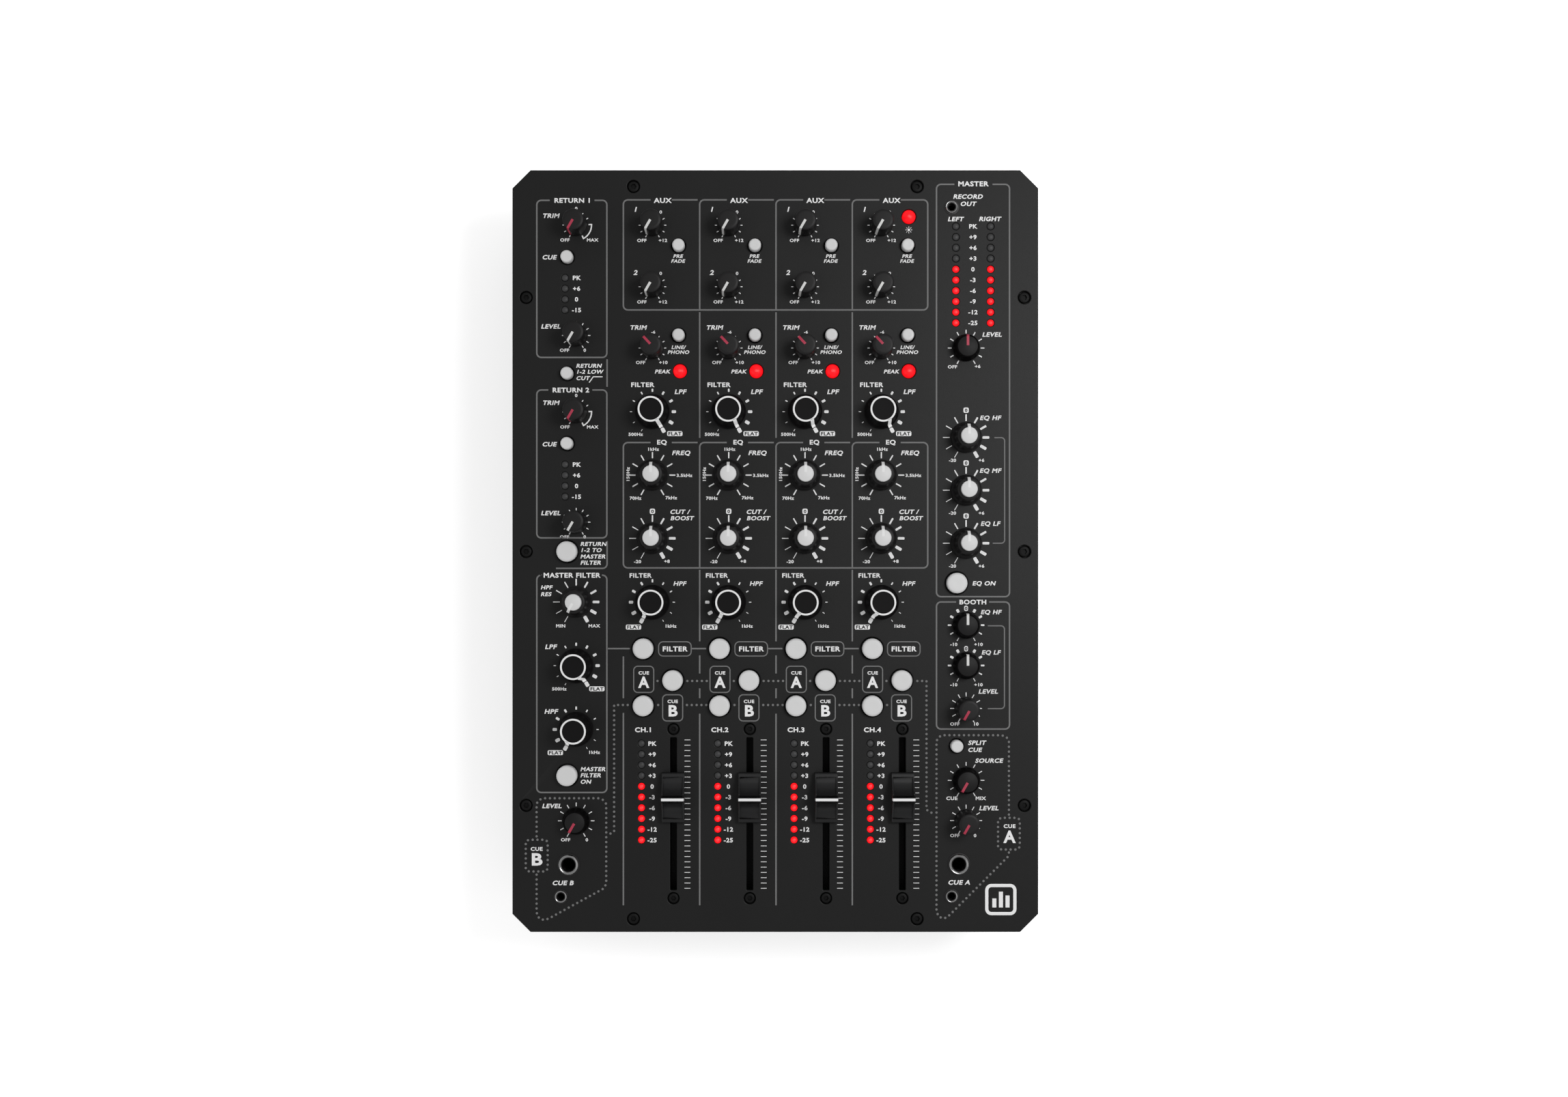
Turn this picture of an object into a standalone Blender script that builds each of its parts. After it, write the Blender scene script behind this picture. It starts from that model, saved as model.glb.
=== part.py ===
"""Four-channel DJ mixer: a steel tray and top plate that hold turning knobs, sliding faders and push keys.

Sizes are in millimetres and become metres when a mesh is made. +Z is up, +Y points to the rear panel,
and the origin is under the middle of the top plate, where the feet stand.
"""
import math

import bmesh
import bpy
from mathutils import Matrix

MM = 0.001
GAP = 0.3

# Heights
FOOT_HEIGHT = 8.0
PLATE_TOP = 74.0
PLATE_THICKNESS = 3.0
PLATE_BOTTOM = PLATE_TOP - PLATE_THICKNESS
TRAY_TOP = PLATE_BOTTOM - GAP
BOARD_TOP = 57.0
BOARD_THICKNESS = 1.6
BOARD_BOTTOM = BOARD_TOP - BOARD_THICKNESS
POT_TOP = 65.5

# Top plate
PLATE_WIDTH = 247.0
PLATE_DEPTH = 358.0
PLATE_CORNER = 8.5
PLATE_EDGE_BEVEL = 0.8

# Channel layout
CHANNEL_PITCH = 35.83
KNOB_COLUMNS = [-57.7 + CHANNEL_PITCH * channel for channel in range(4)]
FADER_COLUMNS = [column + 9.9 for column in KNOB_COLUMNS]
LEFT_COLUMN = -93.5
LEFT_KEYS = -97.7
RIGHT_COLUMN = 89.6
RIGHT_KEYS = 85.1

# Knobs: each family is a turned profile of (radius, height above the plate) from skirt to top
SHAFT_RADIUS = 3.0
SHAFT_REACH = -8.0
KNOB_LIFT = 0.6
KNOB_FAMILIES = {
    "slim": [(5.3, KNOB_LIFT), (4.9, 15.0), (4.5, 15.6)],
    "low": [(6.3, KNOB_LIFT), (6.0, 1.8), (5.0, 8.6)],
    "equaliser": [(7.2, KNOB_LIFT), (6.9, 2.2), (5.3, 12.6), (3.9, 15.6)],
    "filter": [(8.1, KNOB_LIFT), (7.8, 2.0), (6.3, 14.6), (6.0, 15.8)],
}
POINTER_WIDTH = 1.4
POINTER_PROUD = 0.3

# Knob positions: turn is the pointer's angle at rest, clockwise from the rear, in degrees
TURN_LOW = -150
TURN_MIDDLE = 0
TURN_HIGH = 150
TURN_TRIM = -43
CHANNEL_KNOBS = [
    ("aux1_knob", "slim", 153.1, TURN_LOW),
    ("aux2_knob", "slim", 124.2, TURN_LOW),
    ("trim_knob", "slim", 95.4, TURN_TRIM),
    ("lpf_knob", "filter", 65.5, TURN_HIGH),
    ("eq_freq_knob", "equaliser", 35.7, TURN_MIDDLE),
    ("eq_boost_knob", "equaliser", 6.0, TURN_MIDDLE),
    ("hpf_knob", "filter", -24.0, TURN_LOW),
]
LEFT_KNOBS = [
    ("return1_trim_knob", "slim", 153.2, TURN_LOW),
    ("return1_level_knob", "slim", 101.3, TURN_LOW),
    ("return2_trim_knob", "slim", 65.35, TURN_LOW),
    ("return2_level_knob", "slim", 13.6, TURN_LOW),
    ("filter_resonance_knob", "equaliser", -23.9, TURN_LOW),
    ("master_lpf_knob", "filter", -53.8, TURN_HIGH),
    ("master_hpf_knob", "filter", -83.6, TURN_LOW),
    ("cue_b_level_knob", "low", -126.7, TURN_LOW),
]
RIGHT_KNOBS = [
    ("master_level_knob", "low", 95.4, TURN_MIDDLE),
    ("master_eq_hf_knob", "equaliser", 53.4, TURN_MIDDLE),
    ("master_eq_mf_knob", "equaliser", 28.6, TURN_MIDDLE),
    ("master_eq_lf_knob", "equaliser", 3.7, TURN_MIDDLE),
    ("booth_eq_hf_knob", "low", -34.8, TURN_MIDDLE),
    ("booth_eq_lf_knob", "low", -53.75, TURN_MIDDLE),
    ("booth_level_knob", "slim", -73.9, TURN_LOW),
    ("cue_source_knob", "low", -107.7, TURN_LOW),
    ("cue_a_level_knob", "slim", -126.6, TURN_LOW),
]

# Push keys, moulded in strips: small and large caps on a hidden carrier bar
SMALL_KEY = 2.9
LARGE_KEY = 4.8
KEY_CLEARANCE = 0.45
KEY_TOP = 78.0
KEY_BOTTOM = 67.0
KEY_STEM_RADIUS = 1.4
KEY_STEM_BOTTOM = 62.5
CARRIER_WIDTH = 2.6
CARRIER_Z = (67.5, 69.5)
CHANNEL_KEYS = [
    ("pre_fade_keys", SMALL_KEY, 12.3, 143.4),
    ("line_keys", SMALL_KEY, 12.3, 101.3),
    ("filter_keys", LARGE_KEY, -4.3, -45.8),
    ("cue_a_keys", LARGE_KEY, 9.55, -60.7),
    ("cue_b_keys", LARGE_KEY, -4.3, -72.6),
]
LEFT_KEY_ROWS = [
    (SMALL_KEY, 138.0),
    (SMALL_KEY, 83.4),
    (SMALL_KEY, 50.5),
    (LARGE_KEY, -0.2),
    (LARGE_KEY, -105.35),
]
RIGHT_KEY_ROWS = [
    (LARGE_KEY, -15.0),
    (SMALL_KEY, -91.5),
]
SIDE_CARRIER_SHIFT = 1.8

# Faders
FADER_SLOT_Y = (-159.3, -87.6)
FADER_SLOT_WIDTH = 3.0
FADER_REST_Y = -115.5
FADER_CAP_WIDTH = 11.0
FADER_CAP_LENGTH = 23.5
FADER_CAP_HEIGHT = 12.0
FADER_STEM = (1.2, 5.0, 62.0)
FADER_BODY_WIDTH = 9.0
FADER_BODY_TOP = 68.3
FADER_GROOVE_WIDTH = 3.4
FADER_GROOVE_FLOOR = 60.0

# Headphone and record sockets in the top plate: (x, y)
LARGE_JACK_RADIUS = 3.3
SMALL_JACK_RADIUS = 1.8
LARGE_JACKS = [(-97.1, -147.3), (86.2, -147.1)]
SMALL_JACKS = [(-100.7, -162.3), (82.8, -162.1), (82.8, 161.4)]
LARGE_JACK_BORE_END = 44.0
SMALL_JACK_BORE_END = 59.0

# Tray
WALL = 1.6
TRAY_HALF_WIDTH = 121.0
TRAY_FRONT = -176.5
TRAY_REAR = 170.0
RIM_REAR = 176.5
TRAY_CORNER = 8.5
RIM_OPENING_X = 111.0
RIM_OPENING_Y = (-168.0, 165.5)
FOOT_RADIUS = 10.0
FOOT_PLACES = [(x, y) for x in (-95.0, 95.0) for y in (-150.0, 145.0)]

# Rear connector panel
PANEL_HALF_WIDTH = 109.0
PANEL_Z = (12.5, 54.0)
PANEL_Y = (166.0, 168.0)
WINDOW_HALF_WIDTH = 106.0
WINDOW_Z = (14.2, 52.3)
LINE_JACK_COLUMNS = [0.0, 16.0, 32.0, 48.0]
LINE_JACK_ROWS = [24.0, 42.0]
LINE_JACK_DEPTH = 28.0
PHONO_COLUMNS = [65.0, 77.0, 89.0, 101.0]
PHONO_ROWS = [19.0, 28.5, 38.0, 47.5]
PHONO_BARREL_RADIUS = 4.1
PHONO_TIP_Y = 178.0
XLR_COLUMNS = [-51.0, -23.0]
XLR_Z = 33.0
XLR_CAVITY_RADIUS = 9.0
XLR_CAVITY_DEPTH = 18.0
XLR_PIN_LENGTH = 11.5
INLET_X = -85.0
INLET_Z = 33.0
INLET_CAVITY = (24.0, 16.0, 18.0)
INLET_BLADES = [(-7.0, -2.0), (0.0, 2.0), (7.0, -2.0)]
SUPPLY_LOW = (-105.0, 62.0, 14.0)
SUPPLY_HIGH = (-66.0, 146.0, 50.0)

KNOB_SEGMENTS = 12
KEY_SEGMENTS = 10
HOLE_SEGMENTS = 8
FOOT_SEGMENTS = 20


def clear_scene():
    for existing in list(bpy.data.objects):
        bpy.data.objects.remove(existing, do_unlink=True)


def make_material(name, colour, roughness, metallic=0.0):
    made = bpy.data.materials.new(name)
    made.use_nodes = True
    shader = made.node_tree.nodes["Principled BSDF"]
    shader.inputs["Base Color"].default_value = (*colour, 1.0)
    shader.inputs["Roughness"].default_value = roughness
    shader.inputs["Metallic"].default_value = metallic
    return made


def add_turned(bm, profile, segments, place):
    """A closed turned solid. profile lists (radius, height) from the low end cap to the high one."""
    rings = []
    for radius, height in profile:
        ring = []
        for step in range(segments):
            angle = 2 * math.pi * (step + 0.5) / segments
            point = place @ Matrix.Translation((radius * math.cos(angle), radius * math.sin(angle), height))
            ring.append(bm.verts.new(point.translation * MM))
        rings.append(ring)
    for low, high in zip(rings, rings[1:]):
        for step in range(segments):
            following = (step + 1) % segments
            bm.faces.new((low[step], low[following], high[following], high[step]))
    bm.faces.new(list(reversed(rings[0])))
    bm.faces.new(rings[-1])


def add_rod(bm, x, y, radius, low, high, segments):
    """An upright cylinder."""
    add_turned(bm, [(radius, low), (radius, high)], segments, Matrix.Translation((x, y, 0)))


def add_prism(bm, outline, along, start, end):
    """An outline of (across, up) points pushed along X or Y, or of (x, y) points pushed along Z."""
    places = {
        "X": lambda a, b, depth: (depth, a, b),
        "Y": lambda a, b, depth: (a, depth, b),
        "Z": lambda a, b, depth: (a, b, depth),
    }
    place = places[along]
    rings = []
    for depth in (start, end):
        rings.append([bm.verts.new([value * MM for value in place(a, b, depth)]) for a, b in outline])
    count = len(outline)
    for step in range(count):
        following = (step + 1) % count
        bm.faces.new((rings[0][step], rings[0][following], rings[1][following], rings[1][step]))
    bm.faces.new(list(reversed(rings[0])))
    bm.faces.new(rings[1])


def add_box(bm, low, high):
    outline = [(low[0], low[1]), (high[0], low[1]), (high[0], high[1]), (low[0], high[1])]
    add_prism(bm, outline, "Z", low[2], high[2])


def cut_corners(left, front, right, back, front_cut, back_cut):
    """A rectangle's outline whose front and back corners are cut at 45 degrees; 0 leaves them square."""
    outline = []
    for x, y, inward, ahead, cut in (
        (left, front, 1, 1, front_cut),
        (right, front, -1, 1, front_cut),
        (right, back, -1, -1, back_cut),
        (left, back, 1, -1, back_cut),
    ):
        if not cut:
            outline.append((x, y))
            continue
        along_side = (x, y + ahead * cut)
        along_end = (x + inward * cut, y)
        outline += [along_side, along_end] if inward * ahead > 0 else [along_end, along_side]
    return outline


def mesh_of(bm, name):
    """Turn a bmesh into a mesh whose faces point outwards."""
    bmesh.ops.recalc_face_normals(bm, faces=bm.faces)
    mesh = bpy.data.meshes.new(name)
    bm.to_mesh(mesh)
    bm.free()
    return mesh


def combine(base, tool, operation):
    """Join two closed meshes, or cut the second from the first, and return the new mesh."""
    pieces = []
    for mesh in (base, tool):
        piece = bpy.data.objects.new(mesh.name, mesh)
        bpy.context.scene.collection.objects.link(piece)
        pieces.append(piece)
    cut = pieces[0].modifiers.new("cut", "BOOLEAN")
    cut.operation = operation
    cut.solver = "EXACT"
    cut.object = pieces[1]
    graph = bpy.context.evaluated_depsgraph_get()
    result = bpy.data.meshes.new_from_object(pieces[0].evaluated_get(graph))
    for piece in pieces:
        bpy.data.objects.remove(piece, do_unlink=True)
    return result


def place_piece(name, mesh, material, location=(0, 0, 0), turn=0.0):
    """Make one named sub-part. turn is in degrees, clockwise seen from above."""
    mesh.materials.clear()
    mesh.materials.append(material)
    piece = bpy.data.objects.new(name, mesh)
    piece.location = [value * MM for value in location]
    piece.rotation_euler = (0, 0, -math.radians(turn))
    bpy.context.scene.collection.objects.link(piece)
    mesh.shade_smooth()
    mesh.set_sharp_from_angle(angle=math.radians(40))
    return piece


def all_knobs():
    """Every knob as (name, family, x, y, turn)."""
    for number, column in enumerate(KNOB_COLUMNS, start=1):
        for name, family, y, turn in CHANNEL_KNOBS:
            yield f"ch{number}_{name}", family, column, y, turn
    for column, rows in ((LEFT_COLUMN, LEFT_KNOBS), (RIGHT_COLUMN, RIGHT_KNOBS)):
        for name, family, y, turn in rows:
            yield name, family, column, y, turn


def key_strips():
    """Every key strip as (name, keys, carrier line), with keys as (x, y, radius)."""
    for name, radius, offset, y in CHANNEL_KEYS:
        keys = [(column + offset, y, radius) for column in KNOB_COLUMNS]
        yield name, keys, ((keys[0][0], y), (keys[-1][0], y))
    sides = (
        ("left_column_keys", LEFT_KEYS, LEFT_KEY_ROWS),
        ("right_column_keys", RIGHT_KEYS, RIGHT_KEY_ROWS),
    )
    for name, column, rows in sides:
        keys = [(column, y, radius) for radius, y in rows]
        line_x = column - SIDE_CARRIER_SHIFT
        yield name, keys, ((line_x, keys[0][1]), (line_x, keys[-1][1]))


def knob_mesh(family):
    """A knob with its shaft as one turned solid, and a raised pointer towards +Y on its top."""
    skirt = KNOB_FAMILIES[family]
    shaft = [(SHAFT_RADIUS, SHAFT_REACH), (SHAFT_RADIUS, KNOB_LIFT)]
    bm = bmesh.new()
    add_turned(bm, shaft + skirt, KNOB_SEGMENTS, Matrix.Identity(4))
    top_radius, top_height = skirt[-1]
    pointer = bmesh.new()
    low = (-POINTER_WIDTH / 2, top_radius * 0.2, top_height - 0.5)
    high = (POINTER_WIDTH / 2, top_radius * 0.9, top_height + POINTER_PROUD)
    add_box(pointer, low, high)
    return combine(mesh_of(bm, family + "_knob"), mesh_of(pointer, family + "_pointer"), "UNION")


def build_knobs(materials):
    meshes = {family: knob_mesh(family) for family in KNOB_FAMILIES}
    for name, family, x, y, turn in all_knobs():
        place_piece(name, meshes[family], materials[family], (x, y, PLATE_TOP), turn)


def build_key_strips(material):
    """Each strip is one moulding: caps in a row on a carrier bar, with stems down to the switches."""
    for name, keys, ((start_x, start_y), (end_x, end_y)) in key_strips():
        half = CARRIER_WIDTH / 2
        centre = ((start_x + end_x) / 2, (start_y + end_y) / 2)
        bar = bmesh.new()
        low = (min(start_x, end_x) - half - centre[0], min(start_y, end_y) - half - centre[1], CARRIER_Z[0])
        high = (max(start_x, end_x) + half - centre[0], max(start_y, end_y) + half - centre[1], CARRIER_Z[1])
        add_box(bar, low, high)
        caps = bmesh.new()
        for x, y, radius in keys:
            profile = [
                (KEY_STEM_RADIUS, KEY_STEM_BOTTOM),
                (KEY_STEM_RADIUS, KEY_BOTTOM),
                (radius, KEY_BOTTOM),
                (radius, KEY_TOP - 0.7),
                (radius - 0.7, KEY_TOP),
            ]
            add_turned(caps, profile, KEY_SEGMENTS, Matrix.Translation((x - centre[0], y - centre[1], 0)))
        moulding = combine(mesh_of(bar, name), mesh_of(caps, name + "_caps"), "UNION")
        place_piece(name, moulding, material, (*centre, 0))


def fader_mesh():
    """A fader cap with hollow finger slopes each side of its ridge, on a thin stem."""
    base = PLATE_TOP + KNOB_LIFT
    top = PLATE_TOP + FADER_CAP_HEIGHT
    half = FADER_CAP_LENGTH / 2
    slope = [(half, base + 3.4), (half * 0.68, base + 4.6), (half * 0.38, base + 7.4), (half * 0.12, top)]
    outline = [(half, base)] + slope
    outline += [(-y, z) for y, z in reversed(outline)]
    cap = bmesh.new()
    add_prism(cap, outline, "X", -FADER_CAP_WIDTH / 2, FADER_CAP_WIDTH / 2)
    stem = bmesh.new()
    width, length, bottom = FADER_STEM
    add_box(stem, (-width / 2, -length / 2, bottom), (width / 2, length / 2, base + 1.0))
    return combine(mesh_of(cap, "fader"), mesh_of(stem, "fader_stem"), "UNION")


def build_faders(material):
    mesh = fader_mesh()
    for number, column in enumerate(FADER_COLUMNS, start=1):
        place_piece(f"ch{number}_fader", mesh, material, (column, FADER_REST_Y, 0))


def build_faceplate(material):
    """The top plate: a sheet with cut corners, and a hole for every control and socket."""
    half_x = PLATE_WIDTH / 2
    half_y = PLATE_DEPTH / 2
    outline = cut_corners(-half_x, -half_y, half_x, half_y, PLATE_CORNER, PLATE_CORNER)
    sheet = bmesh.new()
    add_prism(sheet, outline, "Z", PLATE_BOTTOM, PLATE_TOP)
    top_edges = [edge for edge in sheet.edges if all(v.co.z > (PLATE_TOP - 0.1) * MM for v in edge.verts)]
    bmesh.ops.bevel(sheet, geom=top_edges, offset=PLATE_EDGE_BEVEL * MM, segments=1, affect="EDGES")
    holes = bmesh.new()
    depth = (PLATE_BOTTOM - 1.0, PLATE_TOP + 1.0)
    for _, _, x, y, _ in all_knobs():
        add_rod(holes, x, y, SHAFT_RADIUS + 0.9, *depth, HOLE_SEGMENTS)
    for _, keys, _ in key_strips():
        for x, y, radius in keys:
            add_rod(holes, x, y, radius + KEY_CLEARANCE, *depth, KEY_SEGMENTS)
    for places, radius in ((LARGE_JACKS, LARGE_JACK_RADIUS), (SMALL_JACKS, SMALL_JACK_RADIUS)):
        for x, y in places:
            add_rod(holes, x, y, radius, *depth, HOLE_SEGMENTS)
    for column in FADER_COLUMNS:
        half = FADER_SLOT_WIDTH / 2
        low = (column - half, FADER_SLOT_Y[0], depth[0])
        high = (column + half, FADER_SLOT_Y[1], depth[1])
        add_box(holes, low, high)
    plate = combine(mesh_of(sheet, "faceplate"), mesh_of(holes, "faceplate_holes"), "DIFFERENCE")
    place_piece("faceplate", plate, material)


def build_tray(material):
    """The folded tray: floor, walls, an inward rim that carries the top plate, and four feet."""
    outer = cut_corners(-TRAY_HALF_WIDTH, TRAY_FRONT, TRAY_HALF_WIDTH, TRAY_REAR, TRAY_CORNER, 0)
    shell = bmesh.new()
    add_prism(shell, outer, "Z", FOOT_HEIGHT, TRAY_TOP)
    inner_x = TRAY_HALF_WIDTH - WALL
    inner_cut = TRAY_CORNER - WALL * (2 - math.sqrt(2))
    inner = cut_corners(-inner_x, TRAY_FRONT + WALL, inner_x, TRAY_REAR - WALL, inner_cut, 0)
    hollow = bmesh.new()
    add_prism(hollow, inner, "Z", FOOT_HEIGHT + WALL, TRAY_TOP - WALL)
    tray = combine(mesh_of(shell, "chassis_tray"), mesh_of(hollow, "tray_hollow"), "DIFFERENCE")
    mouth = bmesh.new()
    mouth_low = (-RIM_OPENING_X, RIM_OPENING_Y[0], TRAY_TOP - WALL - 5.0)
    add_box(mouth, mouth_low, (RIM_OPENING_X, RIM_OPENING_Y[1], TRAY_TOP + 5.0))
    window_low = (-WINDOW_HALF_WIDTH, TRAY_REAR - WALL - 2.0, WINDOW_Z[0])
    add_box(mouth, window_low, (WINDOW_HALF_WIDTH, TRAY_REAR + 2.0, WINDOW_Z[1]))
    tray = combine(tray, mesh_of(mouth, "tray_mouth"), "DIFFERENCE")
    additions = bmesh.new()
    rim_cut = RIM_REAR - TRAY_REAR
    rim = cut_corners(-TRAY_HALF_WIDTH, TRAY_REAR - 1.0, TRAY_HALF_WIDTH, RIM_REAR, 0, rim_cut)
    add_prism(additions, rim, "Z", TRAY_TOP - WALL, TRAY_TOP)
    for x, y in FOOT_PLACES:
        foot = [(FOOT_RADIUS - 1.0, 0.0), (FOOT_RADIUS, 1.0), (FOOT_RADIUS, FOOT_HEIGHT + 0.5)]
        add_turned(additions, foot, FOOT_SEGMENTS, Matrix.Translation((x, y, 0)))
    tray = combine(tray, mesh_of(additions, "tray_additions"), "UNION")
    place_piece("chassis_tray", tray, material)


def build_control_board(material):
    """The circuit board under the plate, with its potentiometers, switches, faders and sockets."""
    board = bmesh.new()
    add_box(board, (-109.0, -165.8, BOARD_BOTTOM), (109.0, 164.8, BOARD_TOP))
    bodies = bmesh.new()
    root = BOARD_TOP - 0.8
    for _, _, x, y, _ in all_knobs():
        add_box(bodies, (x - 4.5, y - 4.5, root), (x + 4.5, y + 4.5, POT_TOP))
    for _, keys, _ in key_strips():
        for x, y, _ in keys:
            add_box(bodies, (x - 3.0, y - 3.0, root), (x + 3.0, y + 3.0, KEY_STEM_BOTTOM - 1.5))
    for column in FADER_COLUMNS:
        outer = FADER_BODY_WIDTH / 2
        inner = FADER_GROOVE_WIDTH / 2
        outline = [(-outer, root), (outer, root), (outer, FADER_BODY_TOP), (inner, FADER_BODY_TOP)]
        outline += [(inner, FADER_GROOVE_FLOOR), (-inner, FADER_GROOVE_FLOOR)]
        outline += [(-inner, FADER_BODY_TOP), (-outer, FADER_BODY_TOP)]
        shifted = [(column + across, up) for across, up in outline]
        add_prism(bodies, shifted, "Y", FADER_SLOT_Y[0] - 1.1, FADER_SLOT_Y[1] + 1.1)
    spacers = [(x, y) for x in (-66.6, 66.6) for y in (-163.0, 161.5)]
    spacers += [(x, y) for x in (-106.0, 106.0) for y in (-119.5, -0.2, 119.2)]
    for x, y in spacers:
        add_rod(bodies, x, y, 2.5, root, TRAY_TOP, KEY_SEGMENTS)
    for x, y in LARGE_JACKS:
        add_rod(bodies, x, y, 5.6, LARGE_JACK_BORE_END - 2.0, TRAY_TOP, KNOB_SEGMENTS)
    for x, y in SMALL_JACKS:
        add_rod(bodies, x, y, 3.4, root, TRAY_TOP, KNOB_SEGMENTS)
    board_mesh = combine(mesh_of(board, "control_board"), mesh_of(bodies, "board_parts"), "UNION")
    bores = bmesh.new()
    for x, y in LARGE_JACKS:
        add_rod(bores, x, y, LARGE_JACK_RADIUS, LARGE_JACK_BORE_END, PLATE_TOP, HOLE_SEGMENTS)
    for x, y in SMALL_JACKS:
        add_rod(bores, x, y, SMALL_JACK_RADIUS, SMALL_JACK_BORE_END, PLATE_TOP, HOLE_SEGMENTS)
    board_mesh = combine(board_mesh, mesh_of(bores, "board_bores"), "DIFFERENCE")
    place_piece("control_board", board_mesh, material)


def rearward(x, z):
    """A frame on the rear panel's outer face, whose own +Z points out of the back."""
    return Matrix.Translation((x, PANEL_Y[1], z)) @ Matrix.Rotation(-math.pi / 2, 4, "X")


def line_jack_places():
    return [(x, z) for x in LINE_JACK_COLUMNS for z in LINE_JACK_ROWS]


def phono_places():
    return [(x, z) for x in PHONO_COLUMNS for z in PHONO_ROWS]


def build_rear_panel(material):
    """The connector panel: mains inlet with its supply, two XLR outputs, line jacks and phono sockets."""
    sheet = bmesh.new()
    add_box(sheet, (-PANEL_HALF_WIDTH, PANEL_Y[0], PANEL_Z[0]), (PANEL_HALF_WIDTH, PANEL_Y[1], PANEL_Z[1]))
    bodies = bmesh.new()
    inside = PANEL_Y[0] + 1.0
    for x, z in line_jack_places():
        low = (x - 6.5, PANEL_Y[1] - LINE_JACK_DEPTH - 2.0, z - 6.5)
        add_box(bodies, low, (x + 6.5, inside, z + 6.5))
    add_box(bodies, (59.0, 150.0, 14.0), (107.0, inside, 52.5))
    for x in XLR_COLUMNS:
        add_box(bodies, (x - 11.0, 143.0, XLR_Z - 11.0), (x + 11.0, inside, XLR_Z + 11.0))
    add_box(bodies, (INLET_X - 14.0, 145.0, INLET_Z - 10.0), (INLET_X + 14.0, inside, INLET_Z + 10.0))
    panel = combine(mesh_of(sheet, "rear_panel"), mesh_of(bodies, "panel_bodies"), "UNION")
    outer = bmesh.new()
    for x, z in phono_places():
        profile = [(PHONO_BARREL_RADIUS, -1.0), (PHONO_BARREL_RADIUS, PHONO_TIP_Y - PANEL_Y[1])]
        add_turned(outer, profile, KEY_SEGMENTS, rearward(x, z))
    add_box(outer, SUPPLY_LOW, SUPPLY_HIGH)
    panel = combine(panel, mesh_of(outer, "panel_outer"), "UNION")
    hollows = bmesh.new()
    for x, z in line_jack_places():
        add_turned(hollows, [(LARGE_JACK_RADIUS, -LINE_JACK_DEPTH), (LARGE_JACK_RADIUS, 3.0)], HOLE_SEGMENTS,
                   rearward(x, z))
    for x, z in phono_places():
        add_turned(hollows, [(1.6, -6.0), (1.6, 12.0)], 8, rearward(x, z))
    for x in XLR_COLUMNS:
        add_turned(hollows, [(XLR_CAVITY_RADIUS, -XLR_CAVITY_DEPTH), (XLR_CAVITY_RADIUS, 3.0)], 16,
                   rearward(x, XLR_Z))
    width, height, depth = INLET_CAVITY
    add_box(hollows, (INLET_X - width / 2, PANEL_Y[1] - depth, INLET_Z - height / 2),
            (INLET_X + width / 2, PANEL_Y[1] + 3.0, INLET_Z + height / 2))
    panel = combine(panel, mesh_of(hollows, "panel_hollows"), "DIFFERENCE")
    pins = bmesh.new()
    for x in XLR_COLUMNS:
        for step in range(3):
            angle = math.radians(-90 + 90 * (step - 1))
            offset = (x + 3.5 * math.cos(angle), XLR_Z + 3.5 * math.sin(angle))
            start = -XLR_CAVITY_DEPTH - 1.0
            add_turned(pins, [(1.2, start), (1.2, start + 1.0 + XLR_PIN_LENGTH)], 6, rearward(*offset))
    for shift_x, shift_z in INLET_BLADES:
        x, z = INLET_X + shift_x, INLET_Z + shift_z
        start = PANEL_Y[1] - depth
        add_box(pins, (x - 1.0, start - 1.0, z - 2.0), (x + 1.0, start + 12.0, z + 2.0))
    panel = combine(panel, mesh_of(pins, "panel_pins"), "UNION")
    place_piece("rear_panel", panel, material)


def main():
    clear_scene()
    soft_black = make_material("soft_black", (0.012, 0.011, 0.012), 0.5)
    knob_materials = {
        "slim": soft_black,
        "low": make_material("satin_black", (0.018, 0.017, 0.018), 0.4),
        "equaliser": make_material("grey_capped_black", (0.05, 0.05, 0.05), 0.45),
        "filter": make_material("ringed_black", (0.015, 0.014, 0.015), 0.45),
    }
    build_tray(make_material("tray_paint", (0.012, 0.012, 0.013), 0.5, 0.2))
    build_faceplate(make_material("plate_paint", (0.022, 0.022, 0.023), 0.55, 0.2))
    build_control_board(make_material("board_green", (0.01, 0.09, 0.04), 0.5))
    build_rear_panel(make_material("panel_paint", (0.015, 0.015, 0.016), 0.45, 0.3))
    build_knobs(knob_materials)
    build_faders(make_material("fader_black", (0.015, 0.015, 0.016), 0.45))
    build_key_strips(make_material("key_grey", (0.58, 0.58, 0.58), 0.45))


main()
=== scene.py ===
"""Studio view of a four-channel DJ mixer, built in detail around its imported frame.

Sizes are in millimetres in the frame's own axes, and become metres in Shape.
"""
import math

import bmesh
import bpy
from mathutils import Matrix, Vector


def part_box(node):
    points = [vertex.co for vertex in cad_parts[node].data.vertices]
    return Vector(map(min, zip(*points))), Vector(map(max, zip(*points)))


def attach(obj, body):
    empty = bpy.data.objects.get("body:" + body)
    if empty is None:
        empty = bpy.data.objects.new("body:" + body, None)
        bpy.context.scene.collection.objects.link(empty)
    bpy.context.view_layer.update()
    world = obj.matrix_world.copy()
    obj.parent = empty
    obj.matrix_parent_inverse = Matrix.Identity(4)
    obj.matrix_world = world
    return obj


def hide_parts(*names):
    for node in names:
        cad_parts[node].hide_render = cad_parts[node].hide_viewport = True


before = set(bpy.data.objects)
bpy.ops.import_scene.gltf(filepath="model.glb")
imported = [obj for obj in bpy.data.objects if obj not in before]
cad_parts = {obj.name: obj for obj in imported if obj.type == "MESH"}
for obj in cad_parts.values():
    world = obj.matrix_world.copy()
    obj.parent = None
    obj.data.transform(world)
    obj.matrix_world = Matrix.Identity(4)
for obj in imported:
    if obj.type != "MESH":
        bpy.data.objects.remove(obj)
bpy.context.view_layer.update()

MM = 0.001
BODY = "mixer_body"


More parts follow.
